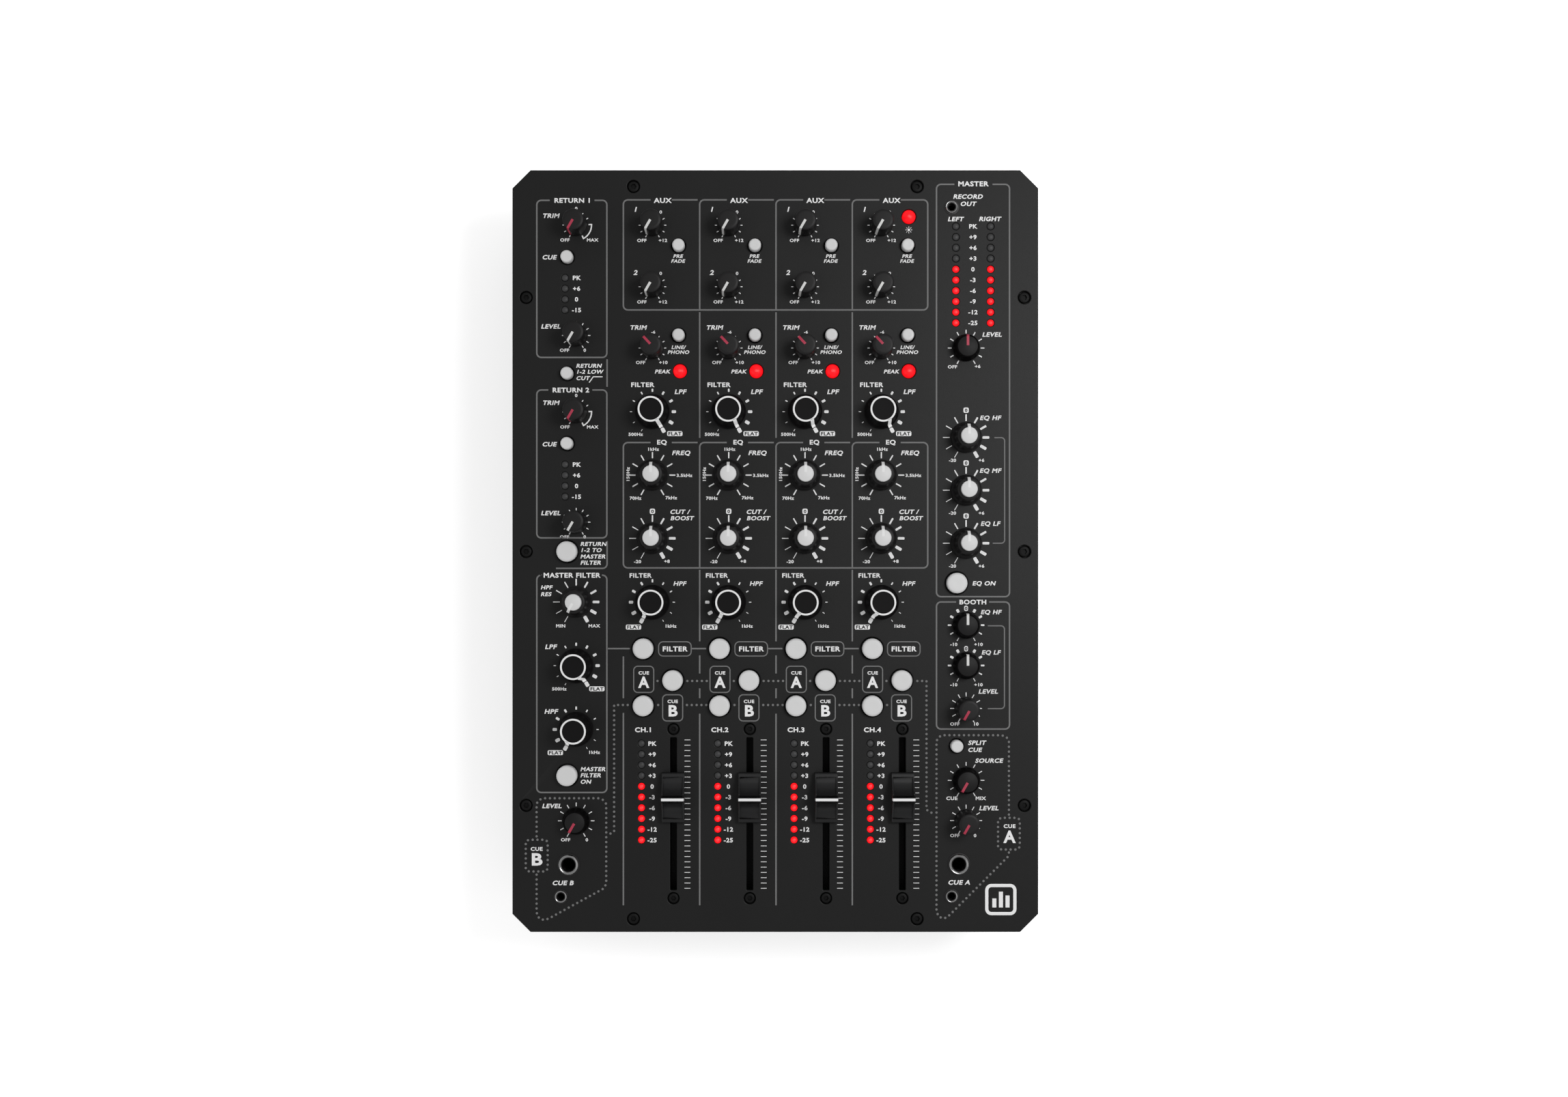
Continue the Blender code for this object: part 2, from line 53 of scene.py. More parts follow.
def node_box(node):
    """A CAD node's lowest and highest corners in millimetres."""
    low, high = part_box(node)
    return Vector(low) / MM, Vector(high) / MM


def node_centre(node):
    low, high = node_box(node)
    return (low + high) / 2


plate_low, plate_high = node_box("faceplate")
tray_low, tray_high = node_box("chassis_tray")
panel_low, panel_high = node_box("rear_panel")
PLATE_TOP = plate_high.z
PLATE_BOTTOM = plate_low.z
PLATE_CUT = 8.5
BOARD_TOP = 57.2
CHANNELS = range(1, 5)
COLUMNS = [node_centre(f"ch{number}_aux1_knob").x for number in CHANNELS]
FADERS = [node_centre(f"ch{number}_fader").x for number in CHANNELS]
LEFT = node_centre("return1_trim_knob").x
RIGHT = node_centre("master_level_knob").x
PITCH = COLUMNS[1] - COLUMNS[0]

# SIDEWAYS stands an outline upright and pushes it along X, BACKWARDS turns it to face out of the rear
SIDEWAYS = Matrix(((0, 0, 1, 0), (1, 0, 0, 0), (0, 1, 0, 0), (0, 0, 0, 1)))
BACKWARDS = Matrix(((-1, 0, 0, 0), (0, 0, 1, 0), (0, 1, 0, 0), (0, 0, 0, 1)))


def link(name, data):
    """Put a new object of this data in the scene."""
    made = bpy.data.objects.new(name, data)
    bpy.context.scene.collection.objects.link(made)
    return made


# ---- camera, light and floor

LENS = 44.0
CAMERA_HEIGHT = 900.0
AXIS_X = -4.9
AXIS_Y = -12.4
SHIFT = (0.0122, 0.0185)
FLOOR_RADIUS = 12000.0


def make_camera():
    data = bpy.data.cameras.new("camera")
    data.sensor_width = 36.0
    data.lens = LENS
    data.shift_x, data.shift_y = SHIFT
    data.clip_start = 0.01
    camera = link("camera", data)
    camera.location = Vector((AXIS_X, AXIS_Y, PLATE_TOP + CAMERA_HEIGHT)) * MM
    bpy.context.scene.camera = camera


def area_light(name, place, target, size, power):
    """A soft light. Its place, target and size are in metres."""
    data = bpy.data.lights.new(name, "AREA")
    data.shape = "RECTANGLE"
    data.size, data.size_y = size
    data.energy = power
    light = link(name, data)
    light.location = place
    light.rotation_euler = (Vector(target) - Vector(place)).to_track_quat("-Z", "Y").to_euler()


def make_studio():
    bpy.context.scene.view_settings.view_transform = "Standard"
    world = bpy.data.worlds.new("studio")
    world.use_nodes = True
    background = world.node_tree.nodes["Background"]
    background.inputs["Color"].default_value = (1.0, 1.0, 1.0, 1.0)
    background.inputs["Strength"].default_value = 0.5
    bpy.context.scene.world = world
    area_light("key", (0.43, 0.18, 1.0), (0.0, 0.0, 0.07), (0.3, 0.3), 3.7)
    area_light("fill", (-1.2, -0.6, 1.1), (0.0, 0.0, 0.05), (1.2, 1.2), 2.0)
    paper = surface("floor_white", 0.95, 0.9, shine=0.0, grain=0.0, mottle=0.0, glow=0.55)
    floor = Shape().turned([(FLOOR_RADIUS, -1.0), (FLOOR_RADIUS, 0.0)], segments=96)
    show(floor.mesh("studio_floor"), "studio_floor", [paper])


# ---- materials

def feed(tree, target, inputs):
    """Set a node's inputs by name or number, from values or from other nodes' outputs."""
    for name, value in inputs.items():
        if isinstance(value, bpy.types.NodeSocket):
            tree.links.new(value, target.inputs[name])
        else:
            target.inputs[name].default_value = value


def add_node(tree, kind, inputs, **settings):
    """Add a node and give back its outputs."""
    made = tree.nodes.new("ShaderNode" + kind)
    for name, value in settings.items():
        setattr(made, name, value)
    feed(tree, made, inputs)
    return made.outputs


def surface(name, colour, roughness, shine, grain, grain_size=0.3, mottle=0.08, glow=0.0, metallic=0.0):
    """A procedural surface: broad colour mottling, and roughness and height at the size of its grain.

    colour is three channels, or one number for a grey.
    """
    channels = (colour,) * 3 if isinstance(colour, float) else colour
    made = bpy.data.materials.new(name)
    made.use_nodes = True
    tree = made.node_tree
    shader = tree.nodes["Principled BSDF"]
    place = add_node(tree, "TexCoord", {})["Object"]
    broad = add_node(tree, "TexNoise", {"Scale": 45.0, "Detail": 4.0, "Vector": place})["Fac"]
    darker = (*[channel * (1 - mottle) for channel in channels], 1.0)
    lighter = (*[min(1.0, channel * (1 + mottle)) for channel in channels], 1.0)
    blend = add_node(tree, "Mix", {"A": darker, "B": lighter, "Factor": broad}, data_type="RGBA")
    fine = add_node(tree, "TexNoise", {"Scale": 1 / (grain_size * MM), "Detail": 3.0, "Vector": place})["Fac"]
    ends = {"To Min": roughness - 0.06, "To Max": roughness + 0.06}
    spread = add_node(tree, "MapRange", {**ends, "Value": fine})
    feed(tree, shader, {"Base Color": blend["Result"], "Roughness": spread["Result"], "Metallic": metallic,
                        "Specular IOR Level": shine})
    if grain:
        bump = add_node(tree, "Bump", {"Strength": grain, "Distance": 0.1 * MM, "Height": fine})
        feed(tree, shader, {"Normal": bump["Normal"]})
    if glow:
        feed(tree, shader, {"Emission Color": (*channels, 1.0), "Emission Strength": glow})
    return made


def board_surface():
    """Green resist up to the board's top face, and black housings above it."""
    made = surface("board_and_housings", (0.01, 0.07, 0.03), 0.45, shine=0.2, grain=0.1)
    tree = made.node_tree
    shader = tree.nodes["Principled BSDF"]
    resist = shader.inputs["Base Color"].links[0].from_socket
    place = add_node(tree, "TexCoord", {})["Object"]
    height = add_node(tree, "SeparateXYZ", {"Vector": place})["Z"]
    above = add_node(tree, "Math", {0: height, 1: BOARD_TOP * MM}, operation="GREATER_THAN")["Value"]
    blend = add_node(tree, "Mix", {"A": resist, "B": (0.003, 0.003, 0.003, 1.0), "Factor": above},
                     data_type="RGBA")
    feed(tree, shader, {"Base Color": blend["Result"]})
    return made


# Each finish: its slot, colour, roughness, shine, grain's depth and size, mottle, glow and metal
FINISHES = {
    "plate_powder_coat": ("plate_paint", 0.0065, 0.46, 0.25, 0.3, 0.35, 0.15),
    "tray_powder_coat": ("tray_paint", (0.008, 0.008, 0.0085), 0.55, 0.3, 0.4, 0.35),
    "panel_paint": ("panel_paint", (0.009, 0.009, 0.0095), 0.45, 0.3, 0.2),
    "soft_touch_black": ("ringed_black", (0.004, 0.0035, 0.0038), 0.55, 0.13, 0.12, 0.15),
    "slim_knob_black": ("soft_black", (0.008, 0.0075, 0.0077), 0.46, 0.25, 0.12, 0.15),
    # The low knobs' one plastic in two tones: a darker flank for painted shade, a lighter top disc for
    # painted light
    "low_knob_shaded_flank_black": ("satin_black", (0.002, 0.0018, 0.0019), 0.6, 0.06, 0.12, 0.15),
    "low_knob_lit_top_disc": ("satin_black", (0.009, 0.0087, 0.0089), 0.5, 0.2, 0.1, 0.15),
    "satin_black_plastic": ("satin_black", (0.009, 0.008, 0.0085), 0.4, 0.35, 0.12, 0.15),
    "fader_plastic": ("fader_black", (0.0105, 0.0105, 0.011), 0.38, 0.3, 0.1, 0.12),
    "key_grey_plastic": ("key_grey", 0.71, 0.4, 0.5, 0.06, 0.12, 0.03),
    "cap_grey_plastic": ("key_grey", 0.71, 0.5, 0.5, 0.25, 0.2, 0.05),
    # The equaliser caps' pointer glows a little though it is no lamp: painted light that brightens it
    "cap_pointer_glow_painted_plastic": ("key_grey", 0.71, 0.5, 0.5, 0.25, 0.2, 0.05, 0.12),
    "grey_ink": ("print_grey", 0.185, 0.6, 0.2, 0.1, 0.3, 0.05),
    "white_ink": ("print_white", 0.9, 0.6, 0.5, 0.1, 0.3, 0.04),
    "dark_ink": ("print_dark", 0.012, 0.6, 0.2, 0.1),
    "pointer_enamel": ("print_white", (0.7, 0.7, 0.69), 0.5, 0.5, 0.1, 0.3, 0.05),
    # The filter pointers' enamel glows though it is no lamp: painted light that brightens their shaded flank
    "pointer_flank_glow_painted_enamel": ("print_white", 0.9, 0.5, 0.5, 0.1, 0.3, 0.05, 0.2),
    "red_ink": ("pointer_red", (0.43, 0.026, 0.065), 0.5, 0.5, 0.08),
    "red_lens": ("lamp_red", (0.8, 0.005, 0.009), 0.35, 0.25, 0.0, 0.3, 0.08, 1.0),
    "red_lens_core": ("lamp_red", (0.95, 0.03, 0.035), 0.35, 0.25, 0.0, 0.3, 0.08, 1.0),
    "dark_lens": ("lamp_dark", (0.042, 0.042, 0.043), 0.5, 0.4, 0.0),
    "bright_plate": ("bright_metal", 0.34, 0.2, 0.5, 0.03, 0.3, 0.03, 0.0, 1.0),
    "contact_metal": ("bright_metal", (0.75, 0.62, 0.36), 0.25, 0.5, 0.05, 0.3, 0.04, 0.0, 1.0),
    "black_screw": ("black_screw", 0.004, 0.5, 0.15, 0.15, 0.15),
    "foot_rubber": ("foot_rubber", 0.01, 0.8, 0.2, 0.4, 0.25),
}
MATERIALS = {name: surface(name, *values) for name, (_, *values) in FINISHES.items()}


# ---- shapes

class Shape:
    """A mesh under construction. Sizes are in millimetres; slot picks one of the piece's materials."""

    def __init__(self):
        self.bm = bmesh.new()

    def vertex(self, place, x, y, z):
        return self.bm.verts.new((place @ Vector((x, y, z))) * MM)

    def skin(self, rings, slot, closed=False):
        """Join rings of corners with faces: capped at both ends, or closed into a loop."""
        faces = []
        for low, high in zip(rings, rings[1:] + rings[:1] if closed else rings[1:]):
            count = max(len(low), len(high))
            for step in range(count):
                following = (step + 1) % count
                corners = [low[step % len(low)], low[following % len(low)], high[following % len(high)],
                           high[step % len(high)]]
                faces.append(list(dict.fromkeys(corners)))
        if not closed:
            faces += [end for end in (rings[0], rings[-1]) if len(end) > 1]
        for face in faces:
            self.bm.faces.new(face).material_index = slot
        return self

    def turned(self, profile, place=Matrix(), segments=48, slot=0, closed=False):
        """Turn (radius, height) points about the place's Z axis: capped ends, or a closed ring."""
        rings = [[self.vertex(place, x, y, height)
                  for x, y in circle(0, 0, radius, segments if radius else 1)] for radius, height in profile]
        return self.skin(rings, slot, closed)

    def prism(self, outline, low, high, place=Matrix(), slot=0):
        """Push an outline of (x, y) points along the place's Z axis."""
        return self.skin([[self.vertex(place, x, y, z) for x, y in outline] for z in (low, high)], slot)

    def block(self, low, high, place=Matrix(), slot=0):
        return self.prism(rectangle(low[0], low[1], high[0], high[1]), low[2], high[2], place, slot)

    def mesh(self, name):
        bmesh.ops.recalc_face_normals(self.bm, faces=self.bm.faces)
        mesh = bpy.data.meshes.new(name)
        self.bm.to_mesh(mesh)
        self.bm.free()
        return mesh

    def fit(self, name, *finishes, **settings):
        return fit(self.mesh(name), name, *finishes, **settings)


def ring(name, finish, profile, place, segments=48):
    """Put a closed ring with a profile of (radius, height) points on the mixer."""
    Shape().turned(profile, place, segments, closed=True).fit(name, finish)


def show(mesh, name, materials, smooth=35):
    """Put a mesh in the scene, with its round faces shaded smooth."""
    for material in materials:
        mesh.materials.append(material)
    mesh.shade_smooth()
    mesh.set_sharp_from_angle(angle=math.radians(smooth))
    return link(name, mesh)


def fit(mesh, name, *finishes, body=BODY, slot=None, nodes=(), place=None, smooth=35):
    """Put a mesh on a body, and hide the CAD nodes it may stand for. Its slot argument is not used."""
    piece = show(mesh, name, [MATERIALS[finish] for finish in finishes], smooth)
    if place is not None:
        piece.matrix_world = Matrix.Translation(place.translation * MM) @ place.to_3x3().to_4x4()
    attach(piece, body)
    if nodes:
        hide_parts(*nodes)
    return piece


def solid(name, data):
    """The mesh that an object of this data gives."""
    carrier = link(name, data)
    graph = bpy.context.evaluated_depsgraph_get()
    mesh = bpy.data.meshes.new_from_object(carrier.evaluated_get(graph))
    bpy.data.objects.remove(carrier, do_unlink=True)
    return mesh


def carve(base, tool, operation="DIFFERENCE"):
    """Cut or join two meshes and return the new one."""
    pieces = [link(mesh.name, mesh) for mesh in (base, tool)]
    cut = pieces[0].modifiers.new("cut", "BOOLEAN")
    cut.operation = operation
    cut.solver = "EXACT"
    cut.object = pieces[1]
    graph = bpy.context.evaluated_depsgraph_get()
    result = bpy.data.meshes.new_from_object(pieces[0].evaluated_get(graph))
    for piece in pieces:
        bpy.data.objects.remove(piece, do_unlink=True)
    return result


def at(x, y, z=0.0, turn=0.0):
    """A place on the mixer. turn is in degrees, clockwise seen from above."""
    return Matrix.Translation((x, y, z)) @ Matrix.Rotation(-math.radians(turn), 4, "Z")


def around(x, y, radius, angle):
    return (x + radius * math.cos(angle), y + radius * math.sin(angle))


def circle(x, y, radius, segments=40):
    return [around(x, y, radius, 2 * math.pi * step / segments) for step in range(segments)]


def rectangle(left, bottom, right, top):
    return [(left, bottom), (right, bottom), (right, top), (left, top)]


def rounded(points, radius, closed=True, steps=6):
    """A path whose corners are arcs."""
    points = [Vector(point) for point in points]
    path = []
    for index, corner in enumerate(points):
        if not closed and index in (0, len(points) - 1):
            path.append(corner)
            continue
        back = (points[index - 1] - corner).normalized()
        ahead = (points[(index + 1) % len(points)] - corner).normalized()
        half = back.angle(ahead) / 2
        centre = corner + (back + ahead).normalized() * radius / math.sin(half)
        reach = radius / math.tan(half)
        first = corner + back * reach - centre
        last = corner + ahead * reach - centre
        sweep = math.atan2(first.cross(last), first.dot(last))
        for step in range(steps + 1):
            turned = first.copy()
            turned.rotate(Matrix.Rotation(sweep * step / steps, 2))
            path.append(centre + turned)
    return path


def rounded_box(left, bottom, right, top, radius, steps=6):
    return rounded(rectangle(left, bottom, right, top), radius, steps=steps)


# ---- printing on the top plate

PRINT_LOW = PLATE_TOP - 0.02
PRINT_HIGH = PLATE_TOP + 0.04
OVERPRINT = 0.02
LINE_WIDTH = 0.7
THIN_LINE = 0.5
BRACKET_WIDTH = 0.55
CORNER = 2.1
DOT_RADIUS = 0.56
DOT_PITCH = 2.27
GREY, WHITE, DARK = range(3)
INKS = ("grey_ink", "white_ink", "dark_ink")


def patch(ink, outline, slot=WHITE):
    """Print a filled outline. ink is the printing's shape."""
    ink.prism(outline, PRINT_LOW, PRINT_HIGH, slot=slot)


def stroke(ink, points, width=LINE_WIDTH, closed=False, slot=GREY):
    """A flat printed line of even width along a path."""
    points = [Vector(point) for point in points]
    count = len(points)
    rows = []
    for index, point in enumerate(points):
        before = points[index - 1] if closed or index else point
        after = points[(index + 1) % count] if closed or index + 1 < count else point
        arrive = (point - before).normalized()
        leave = (after - point).normalized()
        along = (arrive + leave).normalized()
        straight = leave if leave.length else arrive
        across = Vector((-along.y, along.x)) * width / 2 / max(0.5, along.dot(straight))
        rows.append([ink.vertex(Matrix(), *(point + across * side), z)
                     for side, z in ((1, PRINT_LOW), (1, PRINT_HIGH), (-1, PRINT_HIGH), (-1, PRINT_LOW))])
    ink.skin(rows, slot, closed)


def bend(ink, points, radius=CORNER, width=LINE_WIDTH):
    """An open grey line with rounded corners."""
    stroke(ink, rounded(points, radius, closed=False), width)


def dot(ink, x, y):
    patch(ink, circle(x, y, DOT_RADIUS, 10), GREY)


def dots(ink, points, closed=False):
    """Round printed dots at an even pitch along a path."""
    points = [Vector(point) for point in points]
    if closed:
        points.append(points[0])
    lengths = [(b - a).length for a, b in zip(points, points[1:])]
    total = sum(lengths)
    count = max(1, round(total / DOT_PITCH))
    for index in range(count if closed else count + 1):
        left = total * index / count
        for (a, b), length in zip(zip(points, points[1:]), lengths):
            if left <= length + 1e-6:
                spot = a.lerp(b, left / length)
                dot(ink, spot.x, spot.y)
                break
            left -= length


letter_meshes = {}


def letter_mesh(text, anchor):
    """The outline font's letters as a solid mesh, one unit high."""
    if (text, anchor) not in letter_meshes:
        curve = bpy.data.curves.new("letters", "FONT")
        curve.body = text
        curve.align_x = anchor
        curve.resolution_u = 3
        curve.offset = 0.033
        curve.space_character = 1.1
        curve.extrude = 0.5
        letter_meshes[text, anchor] = solid("letters", curve)
    return letter_meshes[text, anchor]


CAP_HEIGHT = max(vertex.co.y for vertex in letter_mesh("H", "CENTER").vertices)
LETTER_STRETCH = 1.17
LEAN = 0.24
SMALL_CAPS = 1.45
WORD_CAPS = 2.0


def letters(ink, text, x, y, cap=SMALL_CAPS, lean=0, turn=0, anchor="CENTER", slot=WHITE,
            stretch=LETTER_STRETCH, level=0):
    """Print a word with its capitals' middle at (x, y)."""
    scale = cap / CAP_HEIGHT
    copy = letter_mesh(text, anchor).copy()
    size = Matrix.Diagonal((scale * stretch, scale, PRINT_HIGH - PRINT_LOW, 1))
    slope = Matrix.Identity(4)
    slope[0][1] = lean
    middle = Matrix.Translation((-lean * cap / 2, -cap / 2, 0))
    place = at(x, y, (PRINT_LOW + PRINT_HIGH) / 2 + level, -turn)
    copy.transform(Matrix.Scale(MM, 4) @ place @ middle @ slope @ size)
    first = len(ink.bm.faces)
    ink.bm.from_mesh(copy)
    ink.bm.faces.ensure_lookup_table()
    for face in ink.bm.faces[first:]:
        face.material_index = slot
    bpy.data.meshes.remove(copy)


def labels(ink, rows, x=0, cap=SMALL_CAPS, lean=0, anchor="CENTER"):
    """Print rows of (text, distance from x, y). A fourth value in a row is its own height."""
    for text, offset, y, *own in rows:
        letters(ink, text, x + offset, y, own[0] if own else cap, lean, anchor=anchor)


def words(ink, rows, x=0, anchor="CENTER"):
    """Rows of leaning labels, which say what a knob or key does."""
    labels(ink, rows, x, WORD_CAPS, LEAN, anchor)


SCALE_STEPS = [step / 10 for step in range(11)]
FINE = [0.42] * 11
RISING = [0.35 + 1.3 * step * step for step in SCALE_STEPS]
OPENING = [0.3 + 1.5 * step ** 1.6 for step in SCALE_STEPS]
PEAKED = [0.35 + 1.15 * (1 - abs(2 * step - 1)) for step in SCALE_STEPS]
# Each scale has its inner and outer radius, its marks' widths, and how far the thin ones are cut short
SCALES = {
    "slim": (5.5, 6.5, FINE, 0),
    "return": (5.5, 6.7, FINE, 0),
    "booth": (5.6, 7.5, FINE, 0),
    "low": (6.8, 8.6, FINE, 0),
    "master": (6.8, 8.6, [0.5] * 11, 0),
    "peaked": (6.9, 8.6, PEAKED, 0),
    "even": (7.9, 10.8, [0.6] * 11, 0),
    "rising": (7.7, 10.9, RISING, 0),
    "opening": (8.8, 11.3, OPENING, 0.9),
    "closing": (8.8, 11.3, OPENING[::-1], 0.9),
}


def ticks(ink, x, y, inner, outer, widths, growth, skip):
    """Eleven scale marks, 30 degrees apart, from 7 to 5 o'clock."""
    for index, width in enumerate(widths):
        angle = -150 + 30 * index
        if angle in skip:
            continue
        trim = growth * (1 - width / max(widths))
        across = rounded_box(-width / 2, inner + trim, width / 2, outer - trim, width * 0.3, 3)
        turn = Matrix.Rotation(-math.radians(angle), 2)
        patch(ink, [turn @ Vector(corner) + Vector((x, y)) for corner in across])


def scales(ink, x, rows):
    """Scales round the knobs of a column, as rows of (kind, y, angles without a mark)."""
    for kind, y, *skip in rows:
        ticks(ink, x, y, *SCALES[kind], skip)


def pill(ink, text, x, y, width=2.5, height=2.5, cap=1.5):
    """Dark letters on a white rounded patch."""
    patch(ink, rounded_box(x - width / 2, y - height / 2, x + width / 2, y + height / 2, 0.28 * height, 4))
    letters(ink, text, x, y, cap, slot=DARK, level=OVERPRINT)


def flat_pill(ink, x, y):
    pill(ink, "FLAT", x, y, 7.2, 2.3, 1.6)


def boxed(ink, *box):
    """A thin closed box, from its sides and its corners' radius."""
    stroke(ink, rounded_box(*box), THIN_LINE, closed=True)


def framed(ink, left, bottom, right, top, gap):
    """A rounded box, open at its top between the two gap positions for a title."""
    bend(ink, [(gap[0], top), (left, top), (left, bottom), (right, bottom), (right, top), (gap[1], top)])


def print_channel(ink, x, number):
    """One channel's labels, scales and lines. x is its knob column."""
    labels(ink, [
        ("AUX", 4.8, 164.8, 2.25), ("FILTER", -4.7, 78.2, 2.1), ("EQ", 4.4, 51.2, 2.1),
        ("FILTER", -5.7, -11.4, 2), ("FILTER", 10.5, -45.9, 2.25), (f"CH.{number}", -4.2, -83.9, 2.15),
        ("0", 3.9, 159.3), ("OFF", -5, 146), ("+12", 4.9, 146),
        ("0", 3.9, 130.5), ("OFF", -5, 117.1), ("+12", 4.9, 117.1),
        ("-6", 0.4, 102.9, 1.3), ("OFF", -5.6, 88.65), ("+10", 5.1, 88.65),
        ("500Hz", -7.9, 54.9), ("1kHz", 0.3, 47.9), ("70Hz", -8, 24.9), ("7kHz", 8.8, 25.1),
        ("-20", -7, -4.9), ("+8", 6.8, -4.75), ("1kHz", 8.5, -35.2),
    ], x)
    letters(ink, "3.5kHz", x + 11.3, 35.6, anchor="LEFT")
    letters(ink, "150Hz", x - 11.5, 36, turn=90)
    words(ink, [
        ("1", -7.8, 160.6, 2.2), ("2", -7.8, 130.9, 2.2), ("PRE", 12.1, 138.6, 1.6),
        ("FADE", 12.1, 136.3, 1.55), ("TRIM", -6.5, 105.1), ("LINE/", 12.3, 95.8, 1.6),
        ("PHONO", 12.3, 93.5, 1.6), ("PEAK", 4.8, 84.4, 1.75), ("LPF", 13.2, 74.9, 2.1),
        ("FREQ", 13.6, 46.2, 2.05), ("HPF", 12.9, -15.2, 2),
    ], x)
    words(ink, [("CUT /", 8.4, 18.5), ("BOOST", 8.6, 15.5, 1.9)], x, "LEFT")
    scales(ink, x, [("slim", 153.1, 0, 30), ("slim", 124.2, 0, 30), ("slim", 95.4, 0), ("opening", 65.5),
                    ("even", 35.7), ("rising", 6), ("closing", -24)])
    flat_pill(ink, x + 10.5, 55.2)
    pill(ink, "0", x, 18.7)
    flat_pill(ink, x - 8.9, -35.7)
    boxed(ink, x + 2.9, -49.3, x + 18.2, -42.6, CORNER)
    for letter, middle, top, stretch in (("A", x - 4.1, -54.1, 0.95), ("B", x + 9.5, -67.5, 1.1)):
        boxed(ink, middle - 4.7, top - 12.3, middle + 4.7, top, 1.9)
        letters(ink, "CUE", middle, top - 3.1, 1.5)
        letters(ink, letter, middle, top - 7.4, 5.15, stretch=stretch)
    mark = FADERS[number - 1] + 5.15
    for index in range(29):
        mark_y = -88.7 - 2.49 * index
        stroke(ink, [(mark, mark_y), (mark + 2.75, mark_y)], 0.27, slot=WHITE)


def uprights(ink, x, *spans):
    for top, bottom in spans:
        stroke(ink, [(x, top), (x, bottom)])


def print_channel_lines(ink):
    """The grey frames and dividers around the four channels."""
    left = COLUMNS[0] - 13.65
    right = COLUMNS[3] + 21.8
    dividers = [x + 22.2 for x in COLUMNS[:3]]
    gaps = [(x - 0.9, x + 9.1) for x in COLUMNS]
    for top, bottom in ((165, 113.3), (51, -7.9)):
        framed(ink, left, bottom, right, top, (gaps[0][0], gaps[3][1]))
        for divider, before, after in zip(dividers, gaps, gaps[1:]):
            stroke(ink, [(before[1], top), (divider - 1, top)])
            bend(ink, [(after[0], top), (divider, top), (divider, bottom + 0.4)])
    for x in dividers:
        uprights(ink, x, (112.2, 53.2), (-8.8, -42.4), (-49, -57.5), (-64.5, -69.1), (-76.4, -166.4))
    uprights(ink, left, (-49.5, -69.1), (-76, -166.4))
    for start, x in zip([-78.9] + [x + 18.5 for x in COLUMNS], COLUMNS):
        stroke(ink, [(start, -45.8), (x - 10.6, -45.8)])


def print_cue_dots(ink):
    """Dotted links from the cue keys to the two headphone areas, and those areas' outlines."""
    row_a, row_b = -61, -72.3
    for x in COLUMNS:
        dot(ink, x + 2.4, row_a)
        dot(ink, x + 2.7, row_b)
    for x in COLUMNS[:3]:
        dots(ink, [(x + 16.4, row_a), (x + 25.5, row_a)])
        dots(ink, [(x + 16.2, row_b), (x + 25.3, row_b)])
    dots(ink, [(COLUMNS[0] - 11.6, row_b), (-75.7, row_b), (-75.7, -131.8), (-77.4, -132.7)])
    side, stem = -79.4, -112.1
    dots(ink, [(stem, -134), (stem, -118.6), (-110.8, -116.8), (-108.6, -116.1), (-83, -116.1),
               (-80.9, -116.9), (side, -118.8), (side, -156.2), (-80.4, -158.4), (-106, -172.4),
               (-108.2, -173.3), (-110.4, -172.9), (-111.8, -171.3), (stem, -169.2), (stem, -152)])
    dots(ink, rounded_box(-117.2, -150.5, -106.9, -135.6, 1.6, 2), closed=True)
    letters(ink, "CUE", stem, -139.9, 1.7)
    letters(ink, "B", stem, -144.7, 5.6, stretch=1.2)
    dots(ink, [(COLUMNS[3] + 16.9, row_a), (71, row_a), (71, -121.5), (73.3, -122.9)])
    side, stem = 75.7, 109.7
    dots(ink, [(stem, -123.8), (stem, -89), (108.4, -87.2), (106.2, -86.5), (78.6, -86.5),
               (76.8, -87.3), (side, -89.2), (side, -169.6), (76.9, -171.8), (79, -172.6),
               (80.9, -171.9), (109.2, -143.6), (stem, -141.6)])
    dots(ink, rounded_box(104.6, -140.2, 114.8, -125.3, 1.6, 2), closed=True)
    letters(ink, "CUE", stem + 0.3, -129.2, 1.7)
    letters(ink, "A", stem + 0.3, -134.1, 5.6, stretch=0.97)


